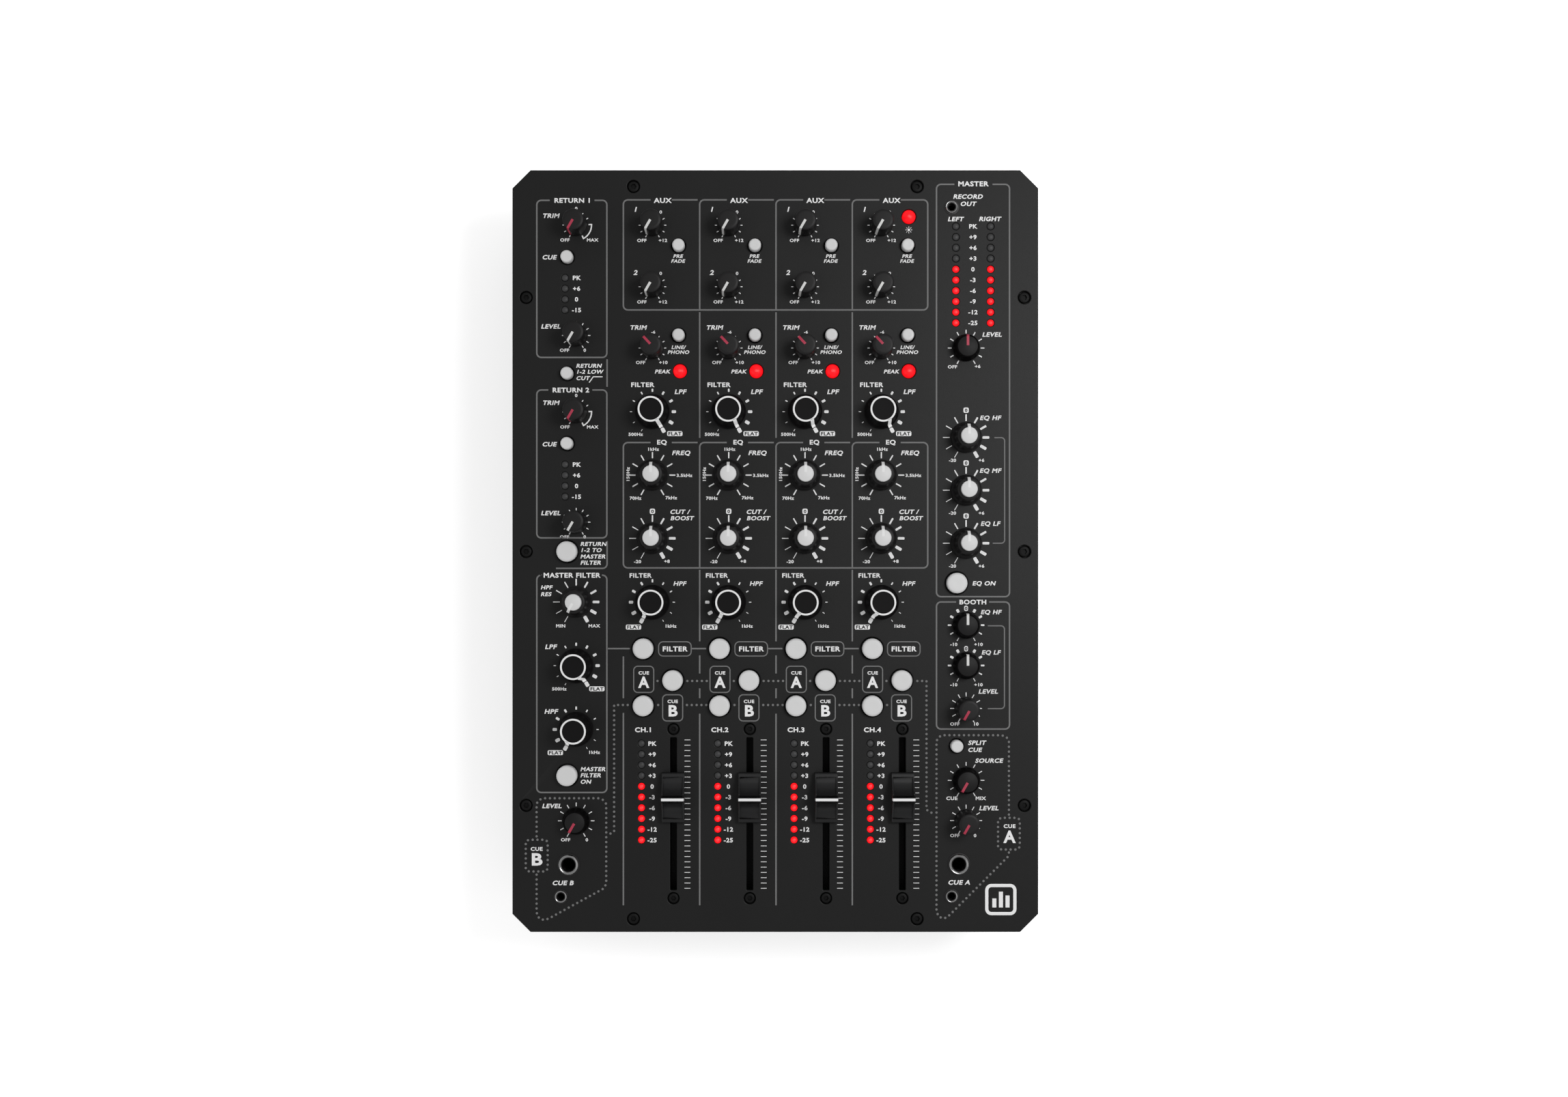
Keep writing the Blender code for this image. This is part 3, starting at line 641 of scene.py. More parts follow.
def print_left_column(ink):
    """Returns, master filter and the second headphone output."""
    for title, top, bottom, gap, trim_y, level_y in (
        ("RETURN 1", 164.8, 91, (-105.9, -84.9), 153.2, 101.3),
        ("RETURN 2", 75.7, 6.2, (-106.6, -85.9), 65.35, 13.6),
    ):
        framed(ink, -112, bottom, -79.1, top, gap)
        arc = [around(LEFT, trim_y, 7.2, math.radians(90 - angle)) for angle in range(88, 153, 4)]
        stroke(ink, [(LEFT + 5.8, trim_y + 0.2)] + arc + [(LEFT + 2.8, trim_y - 5)], 0.6, slot=WHITE)
        labels(ink, [
            (title, sum(gap) / 2 + 0.2, top, 2.15), ("0", LEFT, trim_y + 7.8), ("OFF", -98.8, trim_y - 7),
            ("MAX", -85.9, trim_y - 7), ("OFF", -99, level_y - 6.9), ("0", -89.5, level_y - 6.9),
        ])
        words(ink, [("TRIM", -105.2, trim_y + 4.4), ("CUE", -106, trim_y - 15.1),
                    ("LEVEL", -105.3, level_y + 4.3)])
        scales(ink, LEFT, [("slim", trim_y, 0, 90, 120, 150), ("return", level_y)])
    labels(ink, [
        ("MASTER FILTER", -95.6, -11.3, 2.2), ("MIN", -100.8, -35.1), ("MAX", -85.1, -35.1),
        ("500Hz", -101.5, -64.7), ("1kHz", -85.1, -94.5), ("OFF", -98.5, -135.6), ("0", -88.5, -135.6),
    ])
    words(ink, [("LPF", -105.3, -44.9, 2.1), ("HPF", -105.2, -75.3, 2.1), ("LEVEL", -104.8, -119.7),
                ("CUE B", -99.6, -155.85, 2.05)])
    words(ink, [
        ("RETURN", -93.4, 87.1, 1.8), ("1-2 LOW", -93.4, 84.3, 1.8), ("CUT", -93.4, 81.3, 1.8),
        ("RETURN", -91.4, 3.4, 1.85), ("1-2 TO", -91.4, 0.5, 1.85), ("MASTER", -91.4, -2.5, 1.85),
        ("FILTER", -91.4, -5.4, 1.85), ("HPF", -110, -17, 1.8), ("RES", -110, -20.2, 1.8),
        ("MASTER", -91.4, -102.4, 1.85), ("FILTER", -91.4, -105.3, 1.85), ("ON", -91.4, -108.3, 1.85),
    ], anchor="LEFT")
    scales(ink, LEFT, [("rising", -23.9), ("opening", -53.8), ("closing", -83.8), ("low", -126.7)])
    flat_pill(ink, -83.8, -64.7)
    flat_pill(ink, -103.3, -94.7)
    stroke(ink, [(-87.4, 79.2), (-85.5, 81.9), (-81.1, 81.9)], 0.45, slot=WHITE)
    uprights(ink, -79, (90.1, 77.2))
    bend(ink, [(-79, 4.7), (-79, -8.1), (-103, -8.1)])
    framed(ink, -112, -113.4, -79.1, -11.3, (-110, -81.4))


def print_right_column(ink):
    """Master, booth and the first headphone output."""
    framed(ink, 75.7, -21.4, 110, 172.3, (84.1, 102))
    framed(ink, 75.7, -83.6, 110, -23.9, (84.9, 100.4))
    labels(ink, [
        ("MASTER", 92.9, 172.6, 2.25), ("BOOTH", 92.8, -23.9, 2.1), ("OFF", 83.2, 86.6), ("+6", 95, 86.8),
        ("OFF", 84.3, -81.2), ("10", 94.2, -81.2), ("CUE", 82.9, -116.1, 1.6), ("MIX", 96.4, -116.1, 1.6),
        ("OFF", 84.3, -133.6), ("0", 93.8, -133.6),
    ])
    words(ink, [
        ("RECORD", 90.6, 166.6), ("OUT", 90.7, 163.2), ("LEFT", 84.8, 156.05), ("RIGHT", 100.9, 156.1),
        ("LEVEL", 101.9, 101.8), ("EQ ON", 98.1, -15.1, 1.95), ("LEVEL", 100.1, -65.9),
        ("SOURCE", 100.5, -98.4, 1.95), ("LEVEL", 100.4, -120.7), ("CUE A", 86.4, -155.6, 2.05),
    ])
    words(ink, [("SPLIT", 90.7, -90), ("CUE", 90.6, -93.3, 1.95)], anchor="LEFT")
    scales(ink, RIGHT, [("master", 95.4), ("booth", -73.9), ("low", -107.7), ("booth", -126.6)])
    for band, y in (("HF", 53.4), ("MF", 28.6), ("LF", 3.7)):
        pill(ink, "0", RIGHT, y + 12.8)
        words(ink, [("EQ " + band, 101.1, y + 9.25)])
        labels(ink, [("-20", 83.2, y - 10.7), ("+6", 96.8, y - 10.7)])
        scales(ink, RIGHT, [("rising", y)])
    for band, y in (("HF", -34.8), ("LF", -53.75)):
        pill(ink, "0", RIGHT, y + 7.9, width=1.8)
        words(ink, [("EQ " + band, 101.4, y + 6.2, 1.95)])
        labels(ink, [("-10", 83.8, y - 9), ("+10", 95.4, y - 9)])
        scales(ink, RIGHT, [("peaked", y, 0)])
    bend(ink, [(102.9, 53.3), (107.7, 53.3), (107.7, 3.7), (102.1, 3.7)], 1.6, BRACKET_WIDTH)
    bend(ink, [(99.8, -35.1), (107.6, -35.1), (107.6, -74), (99.8, -74)], 1.6, BRACKET_WIDTH)


def print_sun(ink, x, y):
    """The brightness key's mark: a disc with eight rays."""
    patch(ink, circle(x, y, 0.62, 16))
    for inner, outer in zip(circle(x, y, 1, 8), circle(x, y, 1.6, 8)):
        stroke(ink, [inner, outer], 0.28, slot=WHITE)


def print_emblem(ink, x, y):
    """A generic level-bars mark in a rounded square."""
    half = 6.6
    stroke(ink, rounded_box(x - half, y - half, x + half, y + half, 2.2), 1.5, closed=True, slot=WHITE)
    for step, height in enumerate((4.2, 7.4, 5.6)):
        left = x - 4 + 3.1 * step
        patch(ink, rectangle(left, y - 3.7, left + 1.9, y - 3.7 + height))


METER_PITCH = 5.04
DARK_LAMPS = 4
METER_MARKS = ["PK", "+9", "+6", "+3", "0", "-3", "-6", "-9", "-12", "-25"]
RETURN_MARKS = ["PK", "+6", "0", "-15"]
# Each meter has its name, its top lamp's place, its marks, and how far to the right they are printed
METERS = [(f"ch{number}_meter", x - 5.15, -90.4, METER_MARKS, 5) for number, x in zip(CHANNELS, COLUMNS)]
METERS += [
    ("master_left_meter", 84.8, 152.6, METER_MARKS, 8),
    ("master_right_meter", 101.1, 152.6, METER_MARKS, None),
    ("return1_meter", -98.75, 128.4, RETURN_MARKS, 5.4),
    ("return2_meter", -98.75, 40.7, RETURN_MARKS, 5.4),
]


def print_meters(ink):
    for _, x, top, marks, offset in METERS:
        for index, mark in enumerate(marks if offset else []):
            letters(ink, mark, x + offset, top - METER_PITCH * index, 2, stretch=1.1)


def make_printing():
    ink = Shape()
    for number, x in zip(CHANNELS, COLUMNS):
        print_channel(ink, x, number)
    print_channel_lines(ink)
    print_cue_dots(ink)
    print_left_column(ink)
    print_right_column(ink)
    print_meters(ink)
    print_sun(ink, SUN_KEY.x, SUN_KEY.y - 6.2)
    print_emblem(ink, 105.9, -163.7)
    ink.fit("plate_printing", *INKS, slot="print_white")


# ---- top plate and what is fixed to it

SUN_KEY = Vector((62.7, 157.1))
PEAK_LIGHTS = [Vector((x + 12.9, 84.6)) for x in COLUMNS]
LAMP_RADIUS = 1.6
LAMP_RISE = 0.55
LIGHT_RADIUS = 3.15
LIGHT_RISE = 1.7
LIT = ["red_lens", "red_lens_core"]
# A socket has its hole in the plate, its bore, its nut's radius and how far the nut stands up
LARGE_JACK = (3.9, 3.2, 4.75, 1.3)
SMALL_JACK = (2.2, 1.8, 2.9, 1)
JACKS = [
    ("cue_b_socket", -97.1, -147.3, LARGE_JACK),
    ("cue_a_socket", 86.2, -147.1, LARGE_JACK),
    ("cue_b_small_socket", -100.7, -162.3, SMALL_JACK),
    ("cue_a_small_socket", 82.8, -162.1, SMALL_JACK),
    ("record_socket", 82.8, 161.6, SMALL_JACK),
]
PLATE_SCREWS = [(side * 66.6, y) for side in (-1, 1) for y in (171.35, -172.8)]
PLATE_SCREWS += [(side * 117, y) for side in (-1, 1) for y in (119.2, -0.2, -119.5)]
FADER_SCREWS = [(x, y) for x in FADERS for y in (-83.6, -163.1)]
PLATE_HEAD = 2.6
FADER_HEAD = 2.4
SCREW_GAP = 0.4
PLATE_EDGE = 0.4
FADER_SLOT = (-159.3, -87.6)
KNOB_HOLE = 3.8
KEY_GAP = 0.55
SMALL_KEY = 2.9
LARGE_KEY = 4.8
KNOB_NODES = [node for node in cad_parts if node.endswith("_knob")]
STRIP_KEYS = {
    "pre_fade_keys": [(x + 12.3, 143.4, SMALL_KEY) for x in COLUMNS],
    "line_keys": [(x + 12.3, 101.3, SMALL_KEY) for x in COLUMNS],
    "filter_keys": [(x - 4.3, -45.8, LARGE_KEY) for x in COLUMNS],
    "cue_a_keys": [(x + 9.55, -60.7, LARGE_KEY) for x in COLUMNS],
    "cue_b_keys": [(x - 4.3, -72.6, LARGE_KEY) for x in COLUMNS],
    "left_column_keys": [(-97.7, 138, SMALL_KEY), (-97.7, 83.4, SMALL_KEY), (-97.7, 50.5, SMALL_KEY),
                         (-97.7, -0.2, LARGE_KEY), (-97.7, -105.35, LARGE_KEY)],
    "right_column_keys": [(85.1, -15, LARGE_KEY), (85.1, -91.5, SMALL_KEY)],
}


def sheet_mesh(name, outline, holes, low, high, edge):
    """A flat sheet filled between its outline and its holes, with every edge slightly rounded."""
    curve = bpy.data.curves.new(name, "CURVE")
    curve.dimensions = "2D"
    curve.fill_mode = "BOTH"
    curve.extrude = ((high - low) / 2 - edge) * MM
    curve.bevel_depth = edge * MM
    curve.bevel_resolution = 2
    curve.offset = -edge * MM
    for loop in [outline] + holes:
        spline = curve.splines.new("POLY")
        spline.points.add(len(loop) - 1)
        for point, (x, y) in zip(spline.points, loop):
            point.co = (x * MM, y * MM, 0, 1)
        spline.use_cyclic_u = True
    mesh = solid(name, curve)
    mesh.transform(Matrix.Translation((0, 0, (low + high) / 2 * MM)))
    return mesh


def plate_outline():
    """The plate's edge, with its corners cut at 45 degrees."""
    left, front, right, back = plate_low.x, plate_low.y, plate_high.x, plate_high.y
    return [(left + PLATE_CUT, front), (right - PLATE_CUT, front), (right, front + PLATE_CUT),
            (right, back - PLATE_CUT), (right - PLATE_CUT, back), (left + PLATE_CUT, back),
            (left, back - PLATE_CUT), (left, front + PLATE_CUT)]


def make_faceplate():
    centres = [node_centre(node) for node in KNOB_NODES]
    holes = [circle(centre.x, centre.y, KNOB_HOLE, 32) for centre in centres]
    for keys in STRIP_KEYS.values():
        holes += [circle(x, y, radius + KEY_GAP) for x, y, radius in keys]
    for x in FADERS:
        holes.append(rounded_box(x - 1.5, FADER_SLOT[0], x + 1.5, FADER_SLOT[1], 0.4, 3))
    for _, x, top, marks, _ in METERS:
        holes += [circle(x, top - METER_PITCH * index, LAMP_RADIUS + 0.02, 24) for index in range(len(marks))]
    holes += [circle(spot.x, spot.y, LIGHT_RADIUS + 0.2) for spot in [SUN_KEY] + PEAK_LIGHTS]
    holes += [circle(x, y, sizes[0]) for _, x, y, sizes in JACKS]
    holes += [circle(x, y, PLATE_HEAD + SCREW_GAP, 32) for x, y in PLATE_SCREWS]
    holes += [circle(x, y, FADER_HEAD + SCREW_GAP, 32) for x, y in FADER_SCREWS]
    mesh = sheet_mesh("faceplate_sheet", plate_outline(), holes, PLATE_BOTTOM, PLATE_TOP, PLATE_EDGE)
    fit(mesh, "faceplate_sheet", "plate_powder_coat", nodes=["faceplate"])


def screw_mesh(radius, socket):
    """A low round screw head with a hexagon socket, its top at height 0."""
    head = Shape().turned([(radius * 0.6, -2.6), (radius * 0.6, -1.6), (radius, -1.5), (radius, -0.5),
                           (radius - 0.25, -0.15), (radius - 0.7, 0.0)], segments=40)
    hexagon = Shape().prism(circle(0, 0, socket, 6), -1.3, 0.5)
    return carve(head.mesh("screw"), hexagon.mesh("socket"))


def fit_screws(group, radius, socket, places):
    mesh = screw_mesh(radius, socket)
    for number, place in enumerate(places, start=1):
        fit(mesh.copy(), f"{group}_screw_{number}", "black_screw", place=place)


def make_screws():
    """The plate's and the faders' screws sit below the surface in round wells."""
    for group, spots, radius in (("plate", PLATE_SCREWS, PLATE_HEAD), ("fader", FADER_SCREWS, FADER_HEAD)):
        fit_screws(group, radius, radius * 0.52, [at(x, y, PLATE_TOP - 0.35) for x, y in spots])
    wells = Shape()
    for x, y in PLATE_SCREWS + FADER_SCREWS:
        wells.turned([(2.5, PLATE_BOTTOM + 0.1), (3.4, PLATE_BOTTOM + 0.1), (3.4, PLATE_BOTTOM - 1.2),
                      (2.5, PLATE_BOTTOM - 1.2)], at(x, y), 32, closed=True)
    wells.fit("screw_bushes", "plate_powder_coat")


def lamp(shape, place, radius, rise, segments, lit_segments=0):
    """A domed lens that stands in its hole. A lit one has a bright spot over its die."""
    angles = [math.radians(15 * step) for step in range(6)]
    top = PLATE_TOP + rise
    rim = PLATE_TOP - 0.35
    dome = [(radius * math.cos(angle), rim + (top - rim) * math.sin(angle)) for angle in angles]
    shape.turned([(radius, PLATE_TOP - 2.6)] + dome + [(0, top)], place, segments)
    if lit_segments:
        shape.turned([(0.75, top - 0.5), (0.75, top - 0.08), (0.5, top + 0.02), (0, top + 0.05)], place,
                     lit_segments, slot=1)


def make_lamps():
    """Meter lamps, of which all but the top four glow, and the five large red lights."""
    for name, x, top, marks, _ in METERS:
        places = [at(x, top - METER_PITCH * index) for index in range(len(marks))]
        for state, group, lit_segments, finishes in (("dark", places[:DARK_LAMPS], 0, ["dark_lens"]),
                                                     ("lit", places[DARK_LAMPS:], 16, LIT)):
            if group:
                lamps = Shape()
                for place in group:
                    lamp(lamps, place, LAMP_RADIUS, LAMP_RISE, 24, lit_segments)
                lamps.fit(f"{name}_{state}_lamps", *finishes)
    names = ["brightness_light"] + [f"ch{number}_peak_light" for number in CHANNELS]
    for name, spot in zip(names, [SUN_KEY] + PEAK_LIGHTS):
        light = Shape()
        lamp(light, at(spot.x, spot.y), LIGHT_RADIUS, LIGHT_RISE, 40, 24)
        light.fit(name, *LIT)


def make_jacks():
    """Threaded bushes with bright round nuts, over dark bores."""
    for name, x, y, (_, bore, nut, rise) in JACKS:
        place = at(x, y, PLATE_TOP)
        inner = bore + 0.28
        width = nut - inner
        ring(name + "_nut", "bright_plate", [
            (inner, 0), (nut, 0), (nut, rise * 0.7), (nut - 0.12 * width, rise * 0.88),
            (nut - 0.27 * width, rise), (nut - 0.38 * width, rise), (inner + 0.08 * width, rise * 0.72),
            (inner, rise * 0.62)], place, 64)
        ring(name + "_washer", "satin_black_plastic", [
            (nut + 0.05, 0.02), (nut + 0.6, 0.02), (nut + 0.55, 0.3), (nut + 0.05, 0.35)], place, 64)
        ring(name + "_sleeve", "satin_black_plastic", [
            (bore, -3.4), (bore + 0.24, -3.4), (bore + 0.24, rise * 0.6), (bore, rise * 0.6)], place)


# ---- knobs

OFF, MIDDLE, FULL = -150, 0, 150
# Knobs by their family, their pointer's colour, and where it points in the photo, in degrees from 12 o'clock
KNOB_STYLES = {
    ("slim", "white", OFF): "aux1 aux2 return1_level return2_level",
    ("slim", "red", OFF): "return1_trim return2_trim booth_level cue_a_level",
    ("slim", "red", -43): "trim",
    ("low", "white", MIDDLE): "booth_eq_hf booth_eq_lf",
    ("low", "red", OFF): "cue_b_level cue_source",
    ("low", "red", MIDDLE): "master_level",
    ("equaliser", "grey", OFF): "filter_resonance",
    ("equaliser", "grey", MIDDLE): "eq_freq eq_boost master_eq_hf master_eq_mf master_eq_lf",
    ("filter", "white", OFF): "hpf master_hpf",
    ("filter", "white", FULL): "lpf master_lpf",
}
STYLE_OF = {f"{name}_knob": style for style, names in KNOB_STYLES.items() for name in names.split()}
# Each family's finish and slot
KNOB_BODIES = {
    "slim": ("slim_knob_black", "soft_black"),
    # The low knobs' flank is painted darker than their top, as painted shade
    "low": ("low_knob_shaded_flank_black", "satin_black"),
    "equaliser": ("slim_knob_black", "grey_cap"),
    "filter": ("soft_touch_black", "ringed_black"),
}
# The low knobs' top disc is painted lighter than their flank, as painted light
KNOB_TRIMS = {"cap": "cap_grey_plastic", "ring": "white_ink", "disc": "low_knob_lit_top_disc"}
LIFT = 0.6
SHAFT = [(3, -7.8), (3, LIFT)]


def pointer_mesh(path, width, sink=0.35):
    """An inlaid line down the +Y side of a knob. path is (distance from the axis, height) points."""
    inner = []
    for index, (y, z) in enumerate(path):
        ahead = Vector(path[min(index + 1, len(path) - 1)]) - Vector(path[max(index - 1, 0)])
        normal = Vector((-ahead.y, ahead.x)).normalized()
        inner.append((y + normal.x * -sink, z + normal.y * -sink))
    return Shape().prism(path + inner[::-1], -width / 2, width / 2, SIDEWAYS).mesh("pointer")


# Profiles of (radius, height) points above the shaft, and each pointer's path with its width and sink
KNOB_PARTS = {
    "slim": {
        "body": [(4.9, LIFT), (5.25, LIFT + 0.3), (5.3, 2), (5.15, 2.25), (5.15, 2.6), (5.22, 2.9),
                 (4.95, 14.9), (4.8, 15.35), (4.45, 15.6), (3.4, 15.68), (0, 15.62)],
        "pointer": ([(0.2, 15.7), (4.45, 15.72), (4.85, 15.45), (5.03, 14.95), (5.32, 1.2)], 1.15),
    },
    "low": {
        "body": [(6, LIFT), (6.3, LIFT + 0.3), (6.3, 1.6), (6.15, 2), (5.35, 8.1), (5.2, 8.5), (4.85, 8.65),
                 (4.7, 8.3), (0, 8.2)],
        "disc": [(4.66, 8), (4.66, 8.4), (4.55, 8.46), (0, 8.46)],
        "pointer": ([(0.3, 8.52), (4.6, 8.52), (4.85, 8.72), (5.22, 8.6), (5.6, 6.6)], 1.2),
    },
    "equaliser": {
        "body": [(6.9, LIFT), (7.2, LIFT + 0.35), (7.2, 1.7), (6.95, 2.1), (6.4, 2.5), (5.9, 3.4),
                 (5.55, 5.2), (5.4, 12.2), (5.2, 12.75), (4.7, 13), (4.05, 13.1), (3, 13.1), (0, 13.1)],
        "cap": [(3.6, 12.6), (3.8, 12.9), (3.8, 14.9), (3.65, 15.3), (3.35, 15.5), (0, 15.6)],
        "pointer": ([(0.6, 15.66), (3.3, 15.62), (4, 15.3), (4.4, 14.6), (5.2, 13.3), (5.5, 12.6),
                     (5.6, 10.4)], 1.3, 0.9),
    },
    "filter": {
        "body": [(7.8, LIFT), (8.1, LIFT + 0.35), (8.1, 1.7), (7.9, 2), (7.5, 2.3), (7.2, 3), (6.2, 14.6),
                 (6, 15.2), (5.05, 15.4), (5, 15), (0, 14.9)],
        "ring": [(5.06, 14.9), (5.95, 14.9), (5.97, 15.5), (5.84, 15.72), (5.2, 15.72), (5.09, 15.5)],
        "pointer": ([(5.4, 15.72), (5.95, 15.72), (6.25, 15.2), (7.32, 3.1), (7.6, 2.42), (8.3, 2.05),
                     (8.55, 1.6), (8.58, 0.9)], 1.7, 0.6),
    },
}


def knob_mesh(family, part, values):
    """One part of a family of knobs, which all knobs of the family share."""
    if part == "pointer":
        return pointer_mesh(*values)
    profile = SHAFT + values if part == "body" else values
    segments = 64 if family == "filter" else 48
    return Shape().turned(profile, segments=segments, closed=part == "ring").mesh(f"{family}_{part}")


def make_knobs():
    meshes = {family: {part: knob_mesh(family, part, values) for part, values in parts.items()}
              for family, parts in KNOB_PARTS.items()}
    for node in KNOB_NODES:
        family, colour, turn = STYLE_OF[node if node in STYLE_OF else node.split("_", 1)[1]]
        centre = node_centre(node)
        place = at(centre.x, centre.y, PLATE_TOP, turn)
        # Filter pointers take an enamel with a glow: painted light that brightens their flank
        white = "pointer_flank_glow_painted_enamel" if family == "filter" else "pointer_enamel"
        # The grey cap pointer's finish has a slight glow: painted light, though it is no lamp
        pointer = {"red": "red_ink", "grey": "cap_pointer_glow_painted_plastic", "white": white}[colour]
        for part, mesh in meshes[family].items():
            if part == "body":
                finish, slot = KNOB_BODIES[family]
                fit(mesh.copy(), f"{node}_body", finish, body=node, slot=slot, nodes=[node], place=place)
            else:
                finish = KNOB_TRIMS.get(part, pointer)
                fit(mesh.copy(), f"{node}_{part}", finish, body=node, place=place)


# ---- keys and faders

KEY_BASE = 69.6
CARRIER = (67.5, 69.5)
CARRIER_HALF = 1.3
COLUMN_SHIFT = -1.8


def make_keys():
    """Each strip: one piece per key cap, on a hidden carrier with stems."""
    for strip, keys in STRIP_KEYS.items():
        low, high = node_box(strip)
        top = high.z
        xs = [x for x, _, _ in keys]
        ys = [y for _, y, _ in keys]
        shift = COLUMN_SHIFT if max(ys) > min(ys) else 0
        carrier = Shape()
        carrier.block((min(xs) + shift - CARRIER_HALF, min(ys) - CARRIER_HALF, CARRIER[0]),
                      (max(xs) + shift + CARRIER_HALF, max(ys) + CARRIER_HALF, CARRIER[1]))
        for number, (x, y, radius) in enumerate(keys, start=1):
            cap = [(radius - 0.1, KEY_BASE), (radius, KEY_BASE + 0.2), (radius, top - 0.75),
                   (radius - 0.12, top - 0.5), (radius * 0.84, top - 0.04), (radius * 0.78, top),
                   (radius * 0.4, top - 0.06), (0, top - 0.09)]
            Shape().turned(cap, at(x, y), 56).fit(f"{strip}_cap_{number}", "key_grey_plastic", body=strip,
                                                  smooth=50)
            carrier.turned([(1.4, low.z), (1.4, CARRIER[0] - 0.1)], at(x, y), 20)
        carrier.fit(strip + "_carrier", "satin_black_plastic", body=strip, slot="key_grey", nodes=[strip])


def finger_slope(half, low, high, power):
    """The hollow slope from a fader cap's end up to its ridge, as (y, z) points."""
    return [(half - 1 - (half - 2) * step / 12, low + (high - low) * (step / 12) ** power)
            for step in range(13)]


def make_faders():
    """Fader caps: a ridge with a white line between two hollow finger slopes."""
    half_width = 5.3
    base = PLATE_TOP + LIFT
    for number in CHANNELS:
        node = f"ch{number}_fader"
        low, high = node_box(node)
        centre = node_centre(node)
        top = high.z
        half = (high.y - low.y) / 2
        place = at(centre.x, centre.y)
        across = place @ SIDEWAYS
        outline = [(half, base), (half, base + 2.6), (half - 0.35, base + 3.3)]
        outline += finger_slope(half, base + 3.6, top, 1.7)
        outline += [(-y, z) for y, z in reversed(outline)]
        body = Shape().prism(outline, -half_width, half_width, across)
        hollow = finger_slope(half - 0.9, base + 3.2, top - 0.35, 2.6)
        hollow += [(1.3, top + 2), (half - 1.9, top + 2)]
        scoops = Shape()
        line = Shape().prism(rectangle(-0.6, top - 0.4, 0.6, top + 0.06), -half_width + 0.12,
                             half_width - 0.12, across)
        for side in (-1, 1):
            scoops.prism([(side * y, z) for y, z in hollow], -half_width + 0.8, half_width - 0.8, across)
            left, right = sorted((side * (half_width - 0.3), side * (half_width + 0.05)))
            line.block((left, -0.6, top - 3.2), (right, 0.6, top - 0.2), place)
        piece = fit(carve(body.mesh("cap"), scoops.mesh("scoops")), node + "_cap", "fader_plastic", body=node,
                    nodes=[node], smooth=30)
        edge = piece.modifiers.new("edge", "BEVEL")
        edge.width = 0.25 * MM
        edge.segments = 3
        edge.limit_method = "ANGLE"
        edge.angle_limit = math.radians(40)
        line.fit(node + "_line", "white_ink", body=node)
        stem = Shape().block((-0.6, -2.5, low.z), (0.6, 2.5, base + 0.4), place)
        stem.fit(node + "_stem", "fader_plastic", body=node)


# ---- tray, feet and rear panel

TRAY_FLOOR = 8.0
WALL = 1.6
WALL_REAR = 170.0
RIM_REAR = 176.5
RIM_CUT = 6.5


def cut_corners(inset, front_cut):
    """The tray's outline, moved inwards by the inset, with its two front corners cut."""
    left, right = tray_low.x + inset, tray_high.x - inset
    front, back = tray_low.y + inset, WALL_REAR - inset
    return [(left + front_cut, front), (right - front_cut, front), (right, front + front_cut), (right, back),
            (left, back), (left, front + front_cut)]


def vent(x, y, half_width, half_length, corner):
    return rounded_box(x - half_width, y - half_length, x + half_width, y + half_length, corner, 4)


def make_tray():
    """The folded tray with soft bends, a connector window, side and floor vents, and side screws."""
    shell = Shape().prism(cut_corners(0, PLATE_CUT), TRAY_FLOOR, tray_high.z)
    bmesh.ops.recalc_face_normals(shell.bm, faces=shell.bm.faces)
    bends = [edge for edge in shell.bm.edges
             if any(vertex.co.z < (TRAY_FLOOR + 1) * MM for vertex in edge.verts)]
    bmesh.ops.bevel(shell.bm, geom=bends, offset=1.8 * MM, segments=4, affect="EDGES")
    hollow = Shape().prism(cut_corners(WALL, 7.6), TRAY_FLOOR + WALL, tray_high.z - WALL)
    cuts = Shape()
    cuts.block((-111, -168, tray_high.z - 6), (111, 165.5, tray_high.z + 5))
    cuts.block((-106, WALL_REAR - 4, 14.2), (106, WALL_REAR + 2, 52.3))
    for side in (-1, 1):
        for step in range(14):
            cuts.prism(vent(40 + 7 * step, 38, 1.25, 14, 1.2), -3, 3, at(side * 120, 0) @ SIDEWAYS)
    for row in (-45, 45):
        for step in range(12):
            cuts.prism(vent(-49.5 + 9 * step, row, 1.5, 20, 1.4), TRAY_FLOOR - 2, TRAY_FLOOR + 4)
    mesh = carve(carve(shell.mesh("tray_shell"), hollow.mesh("tray_hollow")), cuts.mesh("tray_cuts"))
    lip = Shape().prism([(tray_low.x, WALL_REAR - 0.8), (tray_high.x, WALL_REAR - 0.8),
                         (tray_high.x, WALL_REAR), (tray_high.x - RIM_CUT, RIM_REAR),
                         (tray_low.x + RIM_CUT, RIM_REAR), (tray_low.x, WALL_REAR)],
                        tray_high.z - WALL, tray_high.z)
    mesh = carve(mesh, lip.mesh("tray_lip"), "UNION")
    fit(mesh, "tray_shell", "tray_powder_coat", nodes=["chassis_tray"])
    fit_screws("side", 3, 1.5, [at(side * 121.9, y, 62) @ Matrix.Rotation(side * math.pi / 2, 4, "Y")
                                for side in (-1, 1) for y in (-150, -60, 20, 155)])


def make_underside():
    """A blank rating plate, and the screws that hold the floor's brackets."""
    plate = Shape().prism(rounded_box(-30, 92, 30, 122, 2), TRAY_FLOOR - 0.35, TRAY_FLOOR - 0.02)
    plate.fit("rating_plate", "grey_ink")
    fit_screws("floor", 3, 1.5, [at(x, y, TRAY_FLOOR - 0.9) @ Matrix.Rotation(math.pi, 4, "X")
                                 for x in (-105, -35, 35, 105) for y in (-110, 0, 158)])


